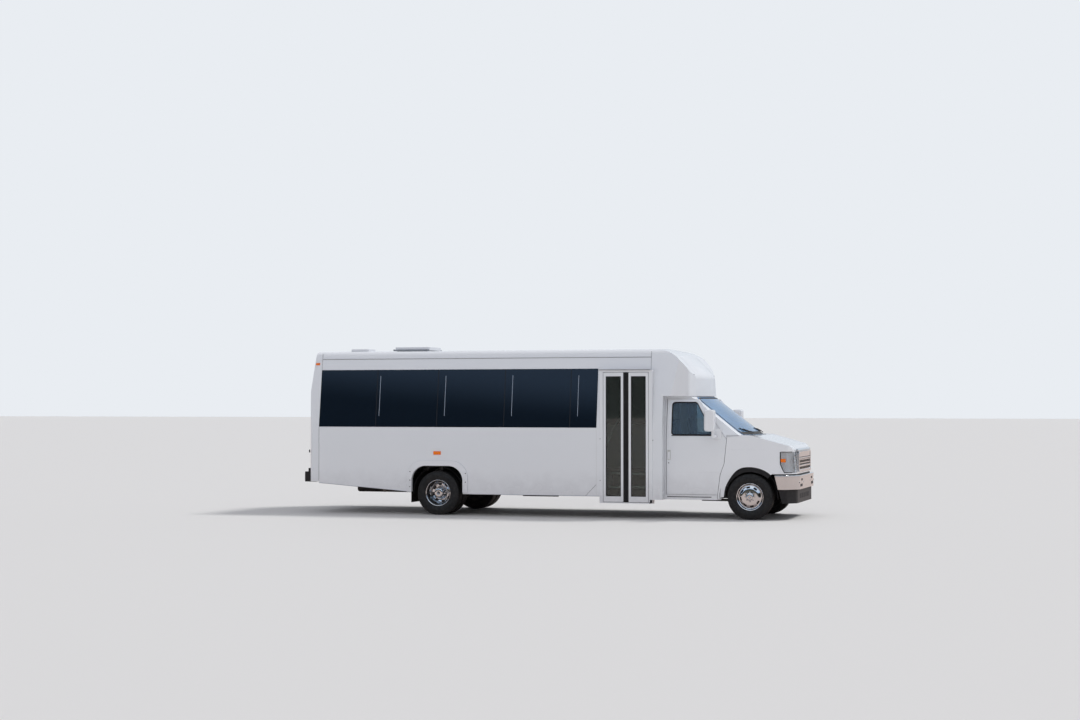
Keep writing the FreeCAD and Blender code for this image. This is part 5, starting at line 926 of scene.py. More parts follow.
def rounded(corners, steps=5):
    """The points of an outline whose corners are given as (first, second, radius)."""
    points = []
    for number, (first, second, radius) in enumerate(corners):
        spot = Vector((first, second))
        before = (Vector(corners[number - 1][:2]) - spot).normalized()
        after = (Vector(corners[(number + 1) % len(corners)][:2]) - spot).normalized()
        if radius <= 0:
            points.append(spot)
            continue
        half = before.angle(after) / 2
        centre = spot + (before + after).normalized() * radius / math.sin(half)
        start = spot + before * radius / math.tan(half) - centre
        end = spot + after * radius / math.tan(half) - centre
        first_turn = math.atan2(start.y, start.x)
        sweep = (math.atan2(end.y, end.x) - first_turn + math.pi) % math.tau - math.pi
        for step in range(steps + 1):
            turn = first_turn + sweep * step / steps
            points.append(centre + radius * Vector((math.cos(turn), math.sin(turn))))
    return points


def rectangle(left, right, bottom, top, radius):
    """The corners of an upright outline, for rounded() and drawn_in()."""
    return [(left, bottom, radius), (right, bottom, radius), (right, top, radius), (left, top, radius)]


def drawn_in(corners, distances, radius_less=0.0):
    """An outline with each side moved inwards by its own distance; side n runs from corner n."""
    spots = [Vector(corner[:2]) for corner in corners]
    count = len(spots)
    area = sum(spots[number - 1].cross(spots[number]) for number in range(count))
    inwards = 1 if area > 0 else -1
    lines = []
    for number in range(count):
        along = (spots[(number + 1) % count] - spots[number]).normalized()
        lines.append((spots[number] + inwards * Vector((-along.y, along.x)) * distances[number], along))
    moved = []
    for number in range(count):
        (start, along), (other, across) = lines[number - 1], lines[number]
        reach = (other - start).cross(across) / along.cross(across)
        spot = start + along * reach
        moved.append((spot.x, spot.y, max(0.001, corners[number][2] - radius_less)))
    return moved


def ring_plate(name, outer, inner, surface, low, high, finish, body, width=0.0012, replaced=()):
    """A ring between two outlines of as many points, laid on a surface between two heights off it."""
    shape = bmesh.new()
    loops = []
    for outline, level in ((outer, low), (outer, high), (inner, high), (inner, low)):
        loops.append([shape.verts.new(surface(first, second, level)) for first, second in outline])
    for loop, following in zip(loops, loops[1:] + loops[:1]):
        for number in range(len(outer)):
            onward = (number + 1) % len(outer)
            shape.faces.new([loop[number], loop[onward], following[onward], following[number]])
    bmesh.ops.recalc_face_normals(shape, faces=shape.faces)
    item = mesh_object(name, shape)
    if width:
        soften(item, width)
    return hand_over(item, finish, body, replaced)


def spline(points, parts):
    """More points on a smooth line through some."""
    filled = []
    for number in range(len(points) - 1):
        before, start = points[max(0, number - 1)], points[number]
        end, after = points[number + 1], points[min(len(points) - 1, number + 2)]
        for step in range(parts):
            share = step / parts
            filled.append(0.5 * (2 * start + (end - before) * share
                                 + (2 * before - 5 * start + 4 * end - after) * share ** 2
                                 + (3 * start - before - 3 * end + after) * share ** 3))
    return filled + [points[-1]]


surfaces = {}


def touch(name, start, direction):
    """Where a line from a point first meets a CAD node or a finished piece, or None."""
    if name not in surfaces:
        mesh = (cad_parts.get(name) or made[name]).data
        surfaces[name] = BVHTree.FromPolygons([vertex.co.copy() for vertex in mesh.vertices],
                                              [list(face.vertices) for face in mesh.polygons])
    return surfaces[name].ray_cast(Vector(start), Vector(direction))[0]


def touch_side(name, x, z, sign):
    """Where a level line from one side first meets a CAD node or a finished piece, or None."""
    return touch(name, (x, sign * 1.4, z), (0, -sign, 0))


class BUS_OT_entry(bpy.types.Operator):
    """Builds the entry door's leaves, gaskets and seals, its rails and the steps' edges"""

    bl_idname = "bus.entry"
    bl_label = "Entry door"

    def execute(self, context):
        seal, thickness, gasket = 0.042, 0.040, 0.009

        def door_side(x, z, out):
            return Vector((x, -1.190 - out, z))

        low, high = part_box("entry_frame")
        edge = rectangle(low.x, high.x, low.z, high.z, 0.004)
        ring_plate("entry_frame_skin", rounded(edge), rounded(drawn_in(edge, [0.015, 0.060, 0.034, 0.060])),
                   door_side, -0.110, thickness, "body_white", "coach", 0.003, ("entry_frame",))
        for leaf, start_gap, end_gap in (("front", seal, 0.0), ("rear", 0.0, seal)):
            node = "entry_leaf_" + leaf
            low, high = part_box(node)
            pane_low, pane_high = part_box("entry_glass_" + leaf)
            left, right = low.x + start_gap, high.x - end_gap
            edge = rectangle(left, right, low.z, high.z, 0.006)
            hole = rectangle(pane_low.x, pane_high.x, pane_low.z, pane_high.z, 0.006)
            ring_plate(node + "_frame", rounded(edge), rounded(hole), door_side, 0.0, thickness, "body_white",
                       node, 0.003, (node,))
            for kind, back, front in (("_gasket", 0.0245, 0.0385), ("_inner_gasket", 0.002, 0.0175)):
                ring_plate(node + kind, rounded(hole), rounded(drawn_in(hole, [gasket] * 4)), door_side,
                           back, front, "rubber", node, 0.002)
            # the seal's flat strip and the bulb along it
            lip = low.x if leaf == "front" else high.x - seal
            bottom, top = low.z + 0.004, high.z - 0.004
            blocks(node + "_seal", [((lip, -1.2265, bottom), (lip + seal, -1.1935, top)),
                                    ((lip + 0.012, -1.2295, bottom), (lip + 0.030, -1.1905, top))],
                   "rubber", node, 0.004)
            blocks(node + "_sweep", [((left + 0.004, -1.220, low.z - 0.012),
                                      (right - 0.004, -1.206, bottom))], "rubber", node, 0.002)
        frame_low, frame_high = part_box("entry_frame")
        near, far, sill = frame_low.x - 0.006, frame_high.x - 0.03, frame_high.z - 0.004
        blocks("entry_drip_rail", [((near, -1.2480, sill), (far, -1.2285, frame_high.z + 0.004)),
                                   ((near, -1.2520, sill), (far, -1.2480, frame_high.z + 0.012))],
               "aluminium", "coach", 0.0015)
        blocks("entry_bracket", [((1.893, -1.236, 0.262), (1.930, -1.2295, 0.312)),
                                 ((1.880, -1.240, 0.256), (1.905, -1.2295, 0.272))],
               "black_plastic", "coach", 0.002)
        bolts = ((1.939, -1.2212, 1.281), (1.052, -1.2305, 0.62), (1.052, -1.2305, 1.30))
        screws("entry_bolts", [(spot, (0, -1, 0)) for spot in bolts], 0.006, 0.004, "black_steel", "coach")
        # the step's edge: y, z
        for number, (across, up) in enumerate(((-0.919, 0.515), (-0.669, 0.728))):
            blocks("step_nosing_%d" % number, [
                ((1.110, across - 0.034, up + 0.0005), (1.860, across + 0.004, up + 0.0055)),
                ((1.110, across - 0.0385, up - 0.030), (1.860, across - 0.034, up + 0.0055))],
                "light_plastic", "coach", 0.0015)
        for name, points in (
                ("entry_handrail", [(1.25, -0.60, 0.905), (1.25, -0.60, 1.58), (1.245, -0.64, 1.66),
                                    (1.20, -0.90, 1.48), (1.160, -1.04, 1.31), (1.122, -1.07, 1.20)]),
                ("entry_handrail_front", [(1.83, -0.60, 0.905), (1.83, -0.60, 1.72), (1.83, -0.66, 1.78),
                                          (1.84, -1.02, 1.30), (1.846, -1.07, 1.24)])):
            rod(name, points, 0.0145, "light_plastic", "coach", True)
        return {"FINISHED"}


class BUS_OT_nose(bpy.types.Operator):
    """Builds the chromed grille, the headlamps, the bumper's cut-outs and the hood's trim"""

    bl_idname = "bus.nose"
    bl_label = "Nose"

    def execute(self, context):
        panel_copy("grille", "grille_bars", "chrome", "coach", 0.0022)
        blocks("grille_back", [((4.172, -0.566, 0.792), (4.178, 0.566, 1.083))],
               "black_plastic", "coach", 0.001)

        def face(y, z, out):
            return Vector((4.2118 + out, y, z))

        edge = rectangle(-0.604, 0.604, 0.771, 1.104, 0.045)
        ring_plate("grille_surround", rounded(edge), rounded(drawn_in(edge, [0.030] * 4, 0.015)), face,
                   0.0, 0.016, "chrome", "coach", 0.006)
        half = 0.011
        bars = [((4.2185, -0.560, level - half), (4.2290, 0.560, level + half)) for level in (0.868, 0.990)]
        blocks("grille_bars_wide", bars, "chrome", "coach", 0.004, 3)
        slab("hood_trim", [(4.1825, 1.106), (4.2140, 1.106), (4.2165, 1.120), (4.2050, 1.140),
                           (4.1825, 1.150)], -0.640, 0.640, "Y", "chrome", "hood", 0.004)
        self.lens_shell()
        self.housing()
        for side, sign in SIDES:
            self.bowls(side, sign)
            self.amber(side, sign)
            self.seals(side, sign)
        for side, sign in SIDES:
            self.wheel_lip(side, sign)
        # the bumper's top and the black strip over it, which is painted shade in the gap under the lamps; in
        # plan from the right end: x, y, corner radius
        slab("bumper_gap_shade", rounded([(3.900, -0.955, 0), (4.040, -0.955, 0.1), (4.195, -0.720, 0.14),
                                       (4.195, 0.720, 0.14), (4.040, 0.955, 0.1), (3.900, 0.955, 0)]),
             0.712, 0.744, "Z", "black_plastic", "coach", 0.003)
        slab("bumper_step", rounded([(3.890, -0.9890, 0), (4.060, -0.9890, 0.11), (4.258, -0.742, 0.16),
                                     (4.258, 0.742, 0.16), (4.060, 0.9890, 0.11), (3.890, 0.9890, 0)]),
             0.690, 0.7205, "Z", "chrome", "coach", 0.009, segments=4)
        # the bumper's cut-outs, drawn as thin black plates on its face: their black is painted shade in the
        # holes
        holes = []
        for sign in (1, -1):
            for across, up in (((0.46, 0.66), (0.535, 0.580)), ((0.44, 0.56), (0.630, 0.665))):
                holes.append(side_box(sign, (4.2545, 4.2570), across, up))
        blocks("bumper_inlets", holes, "black_plastic", "coach", 0.001)
        bolts = [((4.2548, sign * spot, 0.605), (1, 0, 0)) for sign in (1, -1) for spot in (0.36, 0.72)]
        screws("bumper_bolts", bolts, 0.011, 0.006, "chrome", "coach", 6)
        vents = [((4.2195, -0.50 + 0.20 * number, 0.34), (4.2225, -0.36 + 0.20 * number, 0.42))
                 for number in range(5)]
        blocks("dam_inlets", vents, "rubber", "coach", 0.001)
        return {"FINISHED"}

    def wheel_lip(self, side, sign):
        """The fender's rolled edge over the front wheel, with the liner's black face and inner wall; the
        inner wall's black is partly the well's own dark lining and partly painted shade over the parts behind
        it.
        """
        # from the wheel's middle: ahead, up, and how far the lip reaches out over the fender
        table = ((-0.425, -0.010, 0.056), (-0.408, 0.113, 0.070), (-0.375, 0.205, 0.090),
                 (-0.312, 0.312, 0.150), (-0.233, 0.4075, 0.075), (-0.133, 0.466, 0.045),
                 (-0.018, 0.482, 0.032), (0.097, 0.473, 0.030), (0.212, 0.440, 0.030),
                 (0.298, 0.394, 0.030), (0.345, 0.356, 0.030))
        arc = spline([Vector(row) for row in table], 5)
        clear_of_tyre, overlap, liner_depth = 0.398, 0.020, 0.080
        # name, finish, and how far off the vehicle's middle the piece starts and ends
        for name, finish, near, far in (("wheel_lip_", "cab_white", 0.9860, 1.0014),
                                        ("wheel_liner_", "rubber", 0.9720, 0.9780)):
            pair = ([], [])
            for ahead, up, reach in arc:
                spot = Vector((ahead, up))
                radii = (spot.length + reach, spot.length)
                if name == "wheel_liner_":
                    radii = (spot.length + overlap, max(clear_of_tyre, spot.length - liner_depth))
                for row, radius in zip(pair, radii):
                    place = spot.normalized() * radius
                    row.append((front_axle.x + place.x, tyre_radius + place.y))
            shape = bmesh.new()
            bar_of_rows(shape, [[shape.verts.new((x, sign * across, z)) for x, z in row]
                                for row in pair for across in (near, far)])
            hand_over(smooth(mesh_object(name + side, shape), 30), finish, "coach")
        # a black wall deep in the well, behind the tyre: the well's dark lining, and painted shade that hides
        # the parts behind it
        half_length, rise, parts = 0.450, 0.480, 32
        turns = [math.radians(180 * step / parts) for step in range(parts + 1)]
        half = [(front_axle.x + half_length * math.cos(turn), tyre_radius + rise * math.sin(turn))
                for turn in turns]
        low, high = sorted((sign * 0.5440, sign * 0.5470))
        slab("wheel_well_shade_" + side, half, low, high, "Y", "rubber", "coach", 0.0005, segments=1)

    def lens_shell(self):
        """The lamps' clear lens, and the painted corner behind its slanting rear edge."""
        shape = solid_of("headlamps")
        inner = [face for face in shape.faces
                 if face.normal.x < -0.3 or abs(face.normal.z) > 0.75
                 or face.normal.y * math.copysign(1, face.calc_center_median().y) < -0.3]
        bmesh.ops.delete(shape, geom=inner, context="FACES")
        corner = shape.copy()
        for part, behind in ((shape, False), (corner, True)):
            cut(part, (3.968, 0, 0.923), (-0.913, 0, -0.408), clear_outer=not behind, clear_inner=behind)
        filler = thicken(mesh_object("lamp_corner", corner), 0.006, 0.6)
        hand_over(filler, "cab_white", "coach")
        item = thicken(mesh_object("headlamp_lens", shape), 0.004, -1)
        soften(item, 0.0012, 1)
        hand_over(item, "lamp_clear", "coach", ("headlamps",))

    def housing(self):
        """The lamps' housing, whose brightness is painted into its near-white colour: their solid, drawn in
        behind the lens.
        """
        inset, wide_from, middle_inset = 0.026, 0.64, 0.004
        rear_end, centre_z, height_share = 3.985, 0.9325, 0.965
        shape = solid_of("headlamps")
        for vertex in shape.verts:
            vertex.co.x = max(rear_end, vertex.co.x - inset)
            vertex.co.y -= math.copysign(inset if abs(vertex.co.y) > wide_from else middle_inset, vertex.co.y)
            vertex.co.z = centre_z + (vertex.co.z - centre_z) * height_share
        item = mesh_object("headlamp_housing", shape)
        soften(item, 0.004)
        hand_over(item, "reflector", "coach")

    def bowls(self, side, sign):
        """The two bright bowls of a lamp, each with its bulb cap."""
        behind_lens = 0.024
        for place, across, up, radius in (("high", 0.745, 0.985, 0.066), ("low", 0.745, 0.850, 0.050)):
            x = touch("headlamps", (4.5, sign * across, up), (-1, 0, 0)).x - behind_lens
            # ahead, share of the radius
            bowl = lathe([(x + ahead, radius * share) for ahead, share in (
                (0.0, 1.0), (0.004, 1.04), (0.005, 0.98), (-0.004, 0.72), (-0.008, 0.40), (-0.0085, 0.24),
                (0.006, 0.22), (0.008, 0.12), (0.008, 0.0))], (0, sign * across, up), 48, "X")
            item = mesh_object("lamp_bowl_%s_%s" % (place, side), bowl)
            hand_over(smooth(item, 40), "chrome", "coach")

    def amber(self, side, sign):
        """The amber block at a lamp's rear edge, a little proud of the lens."""
        proud, deep = 0.0010, 0.0150
        rows = [[touch_side("headlamps", x, level, sign) for x in (3.985, 4.005, 4.025, 4.045, 4.062)]
                for level in (0.934, 0.990)]
        shape = bmesh.new()
        bar_of_rows(shape, [[shape.verts.new((spot.x, spot.y - sign * depth, spot.z)) for spot in row]
                            for depth in (-proud, deep) for row in rows])
        hand_over(mesh_object("lamp_amber_" + side, shape), "lamp_amber", "coach")

    def seals(self, side, sign):
        """The black seals above, below and behind a lamp."""
        off, lowest, highest = 0.0005, 0.768, 1.097
        outline = []
        for x, level in ((4.040, lowest), (4.020, 0.806), (4.000, 0.851), (3.982, 0.900), (3.980, 0.965),
                         (3.980, 1.030), (3.980, 1.098)):
            start = touch_side("headlamps", x, level, sign)
            if start:
                outline.append((start.x - 0.0015, start.y + sign * off, start.z))
        for level, places in ((1.100, (3.985, 4.05, 4.10, 4.15)), (0.765, (4.04, 4.07, 4.10, 4.15))):
            row = []
            for x in places:
                start = touch_side("headlamps", x, min(max(level, lowest), highest), sign)
                if start:
                    row.append((start.x, start.y + sign * off, level))
            rod("lamp_seal_%s_%d" % (side, level * 1000), row, 0.0045, "rubber", "coach")
        rod("lamp_seal_back_" + side, outline, 0.0075, "rubber", "coach")


# the way out of the windshield
GLASS_NORMAL = (0.603, 0, 0.798)


class BUS_OT_cab(bpy.types.Operator):
    """Builds the cab's window frames, mirrors, handles, wipers and feature lines"""

    bl_idname = "bus.cab"
    bl_label = "Cab trim"

    def execute(self, context):
        gasket = context.scene.bus_looks.gasket
        # the window's corners from its rear lower one: x, z, radius
        window = [(aft(1.295), 1.365, 0.045), (aft(0.584), 1.365, 0.030), (aft(0.880), 1.905, 0.060),
                  (aft(1.295), 1.905, 0.060)]
        outer = drawn_in(window, [-0.003] * 4, -0.003)
        inner = drawn_in(window, [gasket * share for share in (1.5, 1.3, 1.9, 1.3)], gasket)
        for side, sign in SIDES:
            door = "cab_door_" + side

            def skin(x, z, out, sign=sign):
                return Vector((x, sign * cab_side(z, out), z))

            ring_plate("window_frame_" + side, rounded(outer), rounded(inner), skin, -0.012, 0.0025,
                       "rubber", door, 0.002)
            # name, finish, edge radius, its segments, boxes as (along, off the middle, up)
            for name, finish, width, segments, table in (
                    ("window_base_", "rubber", 0.002, 2, (
                        ((aft(1.290), aft(0.560)), (0.986, 1.003), (1.352, 1.364)),)),
                    ("mirror_shell_", "cab_white", 0.036, 5, (
                        ((aft(0.690), aft(0.530)), (1.098, 1.2945), (1.430, 1.778)),)),
                    ("mirror_glass_", "mirror_glass", 0.001, 2, (
                        ((aft(0.6925), aft(0.6895)), (1.128, 1.266), (1.462, 1.746)),)),
                    ("mirror_foot_", "cab_white", 0.010, 3, (
                        ((aft(0.600), aft(0.525)), (0.995, 1.150), (1.330, 1.368)),
                        ((aft(0.605), aft(0.455)), (0.985, 1.012), (1.300, 1.470)))),
                    ("door_handle_", "light_plastic", 0.003, 2, (
                        ((2.128, 2.182), (0.9965, 1.0035), (0.962, 1.122)),)),
                    ("door_handle_pull_", "cab_white", 0.004, 2, (
                        ((2.137, 2.173), (1.0030, 1.0080), (0.972, 1.092)),))):
                blocks(name + side, [side_box(sign, *sizes) for sizes in table], finish, door, width,
                       segments)
            screws("door_lock_" + side, [((2.150, sign * 1.0002, 0.912), (0, sign, 0))], 0.011, 0.002,
                   "bright_steel", door, 20)
            blocks("rocker_slit_" + side, [side_box(sign, (2.123, 2.860), (0.9940, 1.0012), (0.353, 0.366))],
                   "black_plastic", "coach", 0.001)
            # node, body, start, end, height at the start, drop towards the end
            for number, (node, body, start, end, level, drop) in enumerate((
                    (door, door, 2.125, 2.990, 0.762, 0.0),
                    ("front_fenders", "coach", 3.125, 3.965, 1.135, 0.006))):
                row = [touch_side(node, start + (end - start) * step / 8, level - drop * step / 8, sign)
                       for step in range(9)]
                row = [(spot.x, spot.y - sign * 0.0004, spot.z) for spot in row if spot]
                rod("feature_line_%s_%d" % (side, number), row, 0.0020, "cab_white", body)
            self.wiper("wiper_" + side, 0.30 if sign > 0 else -0.42)
        glass = [(-0.845, 1.372, 0.055), (0.845, 1.372, 0.055), (0.735, 1.976, 0.055), (-0.735, 1.976, 0.055)]

        def screen(y, z, out):
            spot = touch("windshield", (5.0, y, z), (-1, 0, 0))
            if not spot:
                spot = Vector((3.5065 - 0.15 * (y / 0.85) ** 2 - 1.3226 * (z - 1.365), y, z))
            return spot + Vector(GLASS_NORMAL) * out

        border = drawn_in(glass, [0.045, 0.013, 0.020, 0.013], 0.0)
        ring_plate("windshield_border", self.fine(glass), self.fine(border), screen, 0.0004, 0.0022, "rubber",
                   "coach", 0)
        blocks("cowl_grille", [((3.415, -0.60, 1.3615), (3.475, 0.60, 1.3665))],
               "black_plastic", "coach", 0.001)
        return {"FINISHED"}

    def fine(self, corners):
        """An outline's points with more between them, so that it bends with the glass."""
        steps, parts = 4, 12
        points = rounded(corners, steps)
        filled = []
        for number, spot in enumerate(points):
            onward = points[(number + 1) % len(points)]
            ends_corner = number % (steps + 1) == steps
            filled += [spot.lerp(onward, step / parts) for step in range(parts)] if ends_corner else [spot]
        return filled

    def wiper(self, name, across):
        """A wiper: its arm from a spindle on the cowl, and a blade that lies on the glass."""
        # part, radius, finish, its points: off the spindle, up, off the glass
        for part, radius, finish, table in (
                ("_arm", 0.006, "black_steel",
                 ((0.0, 1.385, 0.020), (-0.10, 1.405, 0.026), (-0.22, 1.450, 0.020))),
                ("_blade", 0.0065, "rubber",
                 ((0.02, 1.412, 0.0075), (-0.12, 1.430, 0.0075), (-0.28, 1.470, 0.0075)))):
            points = []
            for aside, up, out in table:
                spot = touch("windshield", (5.0, across + aside, up), (-1, 0, 0))
                points.append((spot.x + GLASS_NORMAL[0] * out, across + aside, up + GLASS_NORMAL[2] * out))
            rod(name + part, points, radius, finish, "coach")


class BUS_OT_body_trim(bpy.types.Operator):
    """Builds the body's seams, rails, flare screws, roof fittings and wheel arches"""

    bl_idname = "bus.body_trim"
    bl_label = "Body trim"

    def execute(self, context):
        roof_low, roof_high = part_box("roof")
        roof_ends = (roof_low.x + 0.002, roof_high.x - 0.002)
        rail_out, wall_out = 1.2165, 1.2202
        for side, sign in SIDES:
            blocks("roof_seam_" + side, [side_box(sign, roof_ends, (1.0690, 1.0745), (2.6360, 2.6420))],
                   "black_plastic", "coach", 0.001)
            blocks("roof_drip_" + side, [side_box(sign, roof_ends, (1.0690, 1.0790), (2.6420, 2.6500))],
                   "body_white", "coach", 0.003)
            for end, x, foot in (("front", roof_high.x, 0.365), ("rear", roof_low.x, 0.56)):
                row = [(x, sign * (across + 0.0004), up) for across, up in (
                    (1.2200, foot), (1.2200, 1.470), (1.0700, 2.640), (1.0560, 2.735))]
                rod("cap_seam_%s_%s" % (end, side), row, 0.0022, "black_plastic", "coach")
            # each skirt rail's ends: x, z
            for end, table in (
                    ("rear", ((roof_low.x + 0.003, 0.520), (aft(5.81), 0.392))),
                    ("front", ((aft(4.72), 0.362), (1.035 if side == "right" else 1.870, 0.362)))):
                rod("skirt_rail_%s_%s" % (end, side), [(x, sign * rail_out, z) for x, z in table], 0.006,
                    "aluminium", "coach")
            if side == "right":
                rod("panel_score", [(0.8055, -wall_out, 0.367), (0.9835, -wall_out, 0.551)], 0.0022,
                    "black_plastic", "coach")
                rod("panel_joint", [(0.9835, -wall_out, 0.372), (0.9835, -wall_out, 1.450)], 0.0014,
                    "light_plastic", "coach")
            # each screw's place behind the front axle and its height
            flare = [((aft(distance), sign * 1.2440, level), (0, sign, 0)) for distance, level in (
                (5.765, 0.475), (5.765, 0.583), (5.765, 0.728), (4.770, 0.707), (4.770, 0.560))]
            screws("flare_screws_" + side, flare, 0.0085, 0.005, "black_steel", "coach")
            self.arch("front_arch_" + side, sign, front_axle, 0.455, 0.484, (0.60, 0.972))
            self.arch("rear_arch_" + side, sign, rear_axle, 0.450, 0.448, (0.62, 1.170))
        # the plugs stand where a slanting line from outside meets the cap's skin
        plugs = []
        for side, sign in SIDES:
            spot = touch("front_cap_skin", (2.95, sign * 2.72, 2.320), (-0.2140, sign * -0.9768, 0.0158))
            if spot:
                plugs.append(((spot.x, spot.y + sign * 0.0005, spot.z), (0, sign, 0)))
        screws("cap_plugs", plugs, 0.009, 0.004, "grey_plastic", "coach")
        low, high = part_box("roof_hatch")
        bottom, top = 2.7985, 2.825
        blocks("hatch_curb", [((low.x - 0.020, -0.322, bottom), (high.x, -0.302, top)),
                              ((low.x - 0.020, 0.302, bottom), (high.x, 0.322, top)),
                              ((low.x - 0.022, -0.322, bottom), (low.x - 0.003, 0.322, top))],
               "aluminium", "coach", 0.002)
        vent_x, pitch = aft(7.135), 0.04
        blocks("vent_slots", [((vent_x - 0.125 + pitch * number, -0.145, 2.8395),
                               (vent_x - 0.105 + pitch * number, 0.145, 2.8412)) for number in range(6)],
               "black_plastic", "coach", 0.0004)
        paint("lamp_amber", "marker_lamps")
        return {"FINISHED"}

    def arch(self, name, sign, axle, half_length, rise, reach):
        """A black liner over a wheel."""
        wall, parts = 0.004, 40
        turns = [math.radians(-4 + 188 * step / parts) for step in range(parts + 1)]
        shape = bmesh.new()
        rows = []
        for across in reach:
            for depth in (0.0, wall):
                rows.append([shape.verts.new((axle.x + (half_length - depth) * math.cos(turn), sign * across,
                                              tyre_radius + (rise - depth) * math.sin(turn)))
                             for turn in turns])
        bar_of_rows(shape, rows)
        hand_over(smooth(mesh_object(name, shape)), "rubber", "coach")


class BUS_OT_rear(bpy.types.Operator):
    """Builds the tail lamps, the rear door's fittings and the step bumper's tread"""

    bl_idname = "bus.rear"
    bl_label = "Rear end"

    def execute(self, context):
        lamp_face, lamp_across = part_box("tail_lamps")[1].x, 0.950
        # colour, height
        table = (("lamp_red", 1.178), ("lamp_amber", 1.040), ("lamp_clear", 0.902))
        for number, (finish, level) in enumerate(table):
            shape = bmesh.new()
            rims = bmesh.new()
            for side, sign in SIDES:
                # ahead, radius
                for whole, closed, profile in (
                        (shape, False, ((0.0, 0.0520), (-0.010, 0.0520), (-0.0155, 0.0470),
                                        (-0.0190, 0.0300), (-0.0200, 0.0))),
                        (rims, True, ((0.0005, 0.0590), (-0.0070, 0.0600), (-0.0100, 0.0570),
                                      (-0.0080, 0.0525), (0.0005, 0.0525)))):
                    turned = lathe([(lamp_face + ahead, radius) for ahead, radius in profile],
                                   (0, sign * lamp_across, level), 40, "X", closed)
                    part = bpy.data.meshes.new("part")
                    turned.to_mesh(part)
                    turned.free()
                    whole.from_mesh(part)
            hand_over(smooth(mesh_object("tail_lens_%d" % number, shape)), finish, "coach",
                      ("tail_lamps",) if number == 0 else ())
            hand_over(smooth(mesh_object("tail_rim_%d" % number, rims)), "rubber", "coach")

        def back(y, z, out):
            return Vector((-4.180 - out, y, z))

        pane = rectangle(-0.320, 0.320, 1.350, 1.980, 0.05)
        ring_plate("rear_glass_gasket", rounded(drawn_in(pane, [-0.012] * 4, -0.012)),
                   rounded(drawn_in(pane, [0.010] * 4, 0.010)), back, -0.048, 0.003,
                   "rubber", "rear_door", 0.003)
        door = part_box("rear_door")[0].x
        half_height = 0.045
        fixed, swinging = [], []
        for level in (0.95, 1.45, 1.90):
            cap = touch("rear_cap", (-5.0, -0.490, level), (1, 0, 0)).x
            fixed.append(((cap - 0.004, -0.508, level - half_height),
                          (cap + 0.002, -0.474, level + half_height)))
            swinging.append(((door - 0.004, -0.412, level - half_height),
                             (door + 0.001, -0.375, level + half_height)))
        blocks("rear_hinge_leaves", fixed, "black_steel", "coach", 0.0015)
        blocks("rear_door_hinge_leaves", swinging, "black_steel", "rear_door", 0.0015)
        blocks("rear_latch", [((-4.195, 0.325, 1.020), (-4.179, 0.385, 1.140)),
                              ((-4.203, 0.338, 1.045), (-4.195, 0.372, 1.115))],
               "black_plastic", "rear_door", 0.004)
        low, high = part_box("rear_bumper")
        grip = bmesh.new()
        block(grip, (low.x + 0.012, -1.120, high.z - 0.078), (low.x + 0.070, -1.108, high.z - 0.0745))
        bmesh.ops.recalc_face_normals(grip, faces=grip.faces)
        in_a_row("bumper_tread", grip, 75, (0, 0.030, 0), "rubber", "coach")
        blocks("rear_corner_plug", [((-4.152, -1.216, 1.035), (-4.135, -1.198, 1.085))],
               "black_plastic", "coach", 0.002)
        return {"FINISHED"}


def cushion(name, corners, width):
    """A stuffed pad from its side outline, given as (x, z), and its width: blown up as cloth, then eased
    back so that no point goes further than a cap."""
    voxel, steps, cap = 0.010, 16, 0.020
    shape = bmesh.new()
    prism(shape, *[[(x, y, z) for x, z in corners] for y in (-width / 2, width / 2)])
    bmesh.ops.recalc_face_normals(shape, faces=shape.faces)
    item = mesh_object(name, shape)
    edges = item.modifiers.new("Edges", "BEVEL")
    edges.width = 0.022
    edges.segments = 3
    grain = item.modifiers.new("Remesh", "REMESH")
    grain.mode = "VOXEL"
    grain.voxel_size = voxel
    settle(item)
    start = [vertex.co.copy() for vertex in item.data.vertices]
    cloth = item.modifiers.new("Stuffing", "CLOTH")
    cloth.settings.use_pressure = True
    cloth.settings.uniform_pressure_force = 4.0
    cloth.settings.effector_weights.gravity = 0.0
    cloth.settings.quality = 4
    cloth.point_cache.frame_start = 1
    cloth.point_cache.frame_end = steps
    for number in range(1, steps + 1):
        bpy.context.scene.frame_set(number)
    settle(item)
    bpy.context.scene.frame_set(1)
    for vertex, before in zip(item.data.vertices, start):
        way = vertex.co - before
        if way.length > cap:
            vertex.co = before + way.normalized() * cap
    thin = item.modifiers.new("Thin", "DECIMATE")
    thin.ratio = 0.14
    fine = item.modifiers.new("Fine", "SUBSURF")
    fine.levels = fine.render_levels = 1
    settle(item)
    item.data.shade_smooth()
    return item


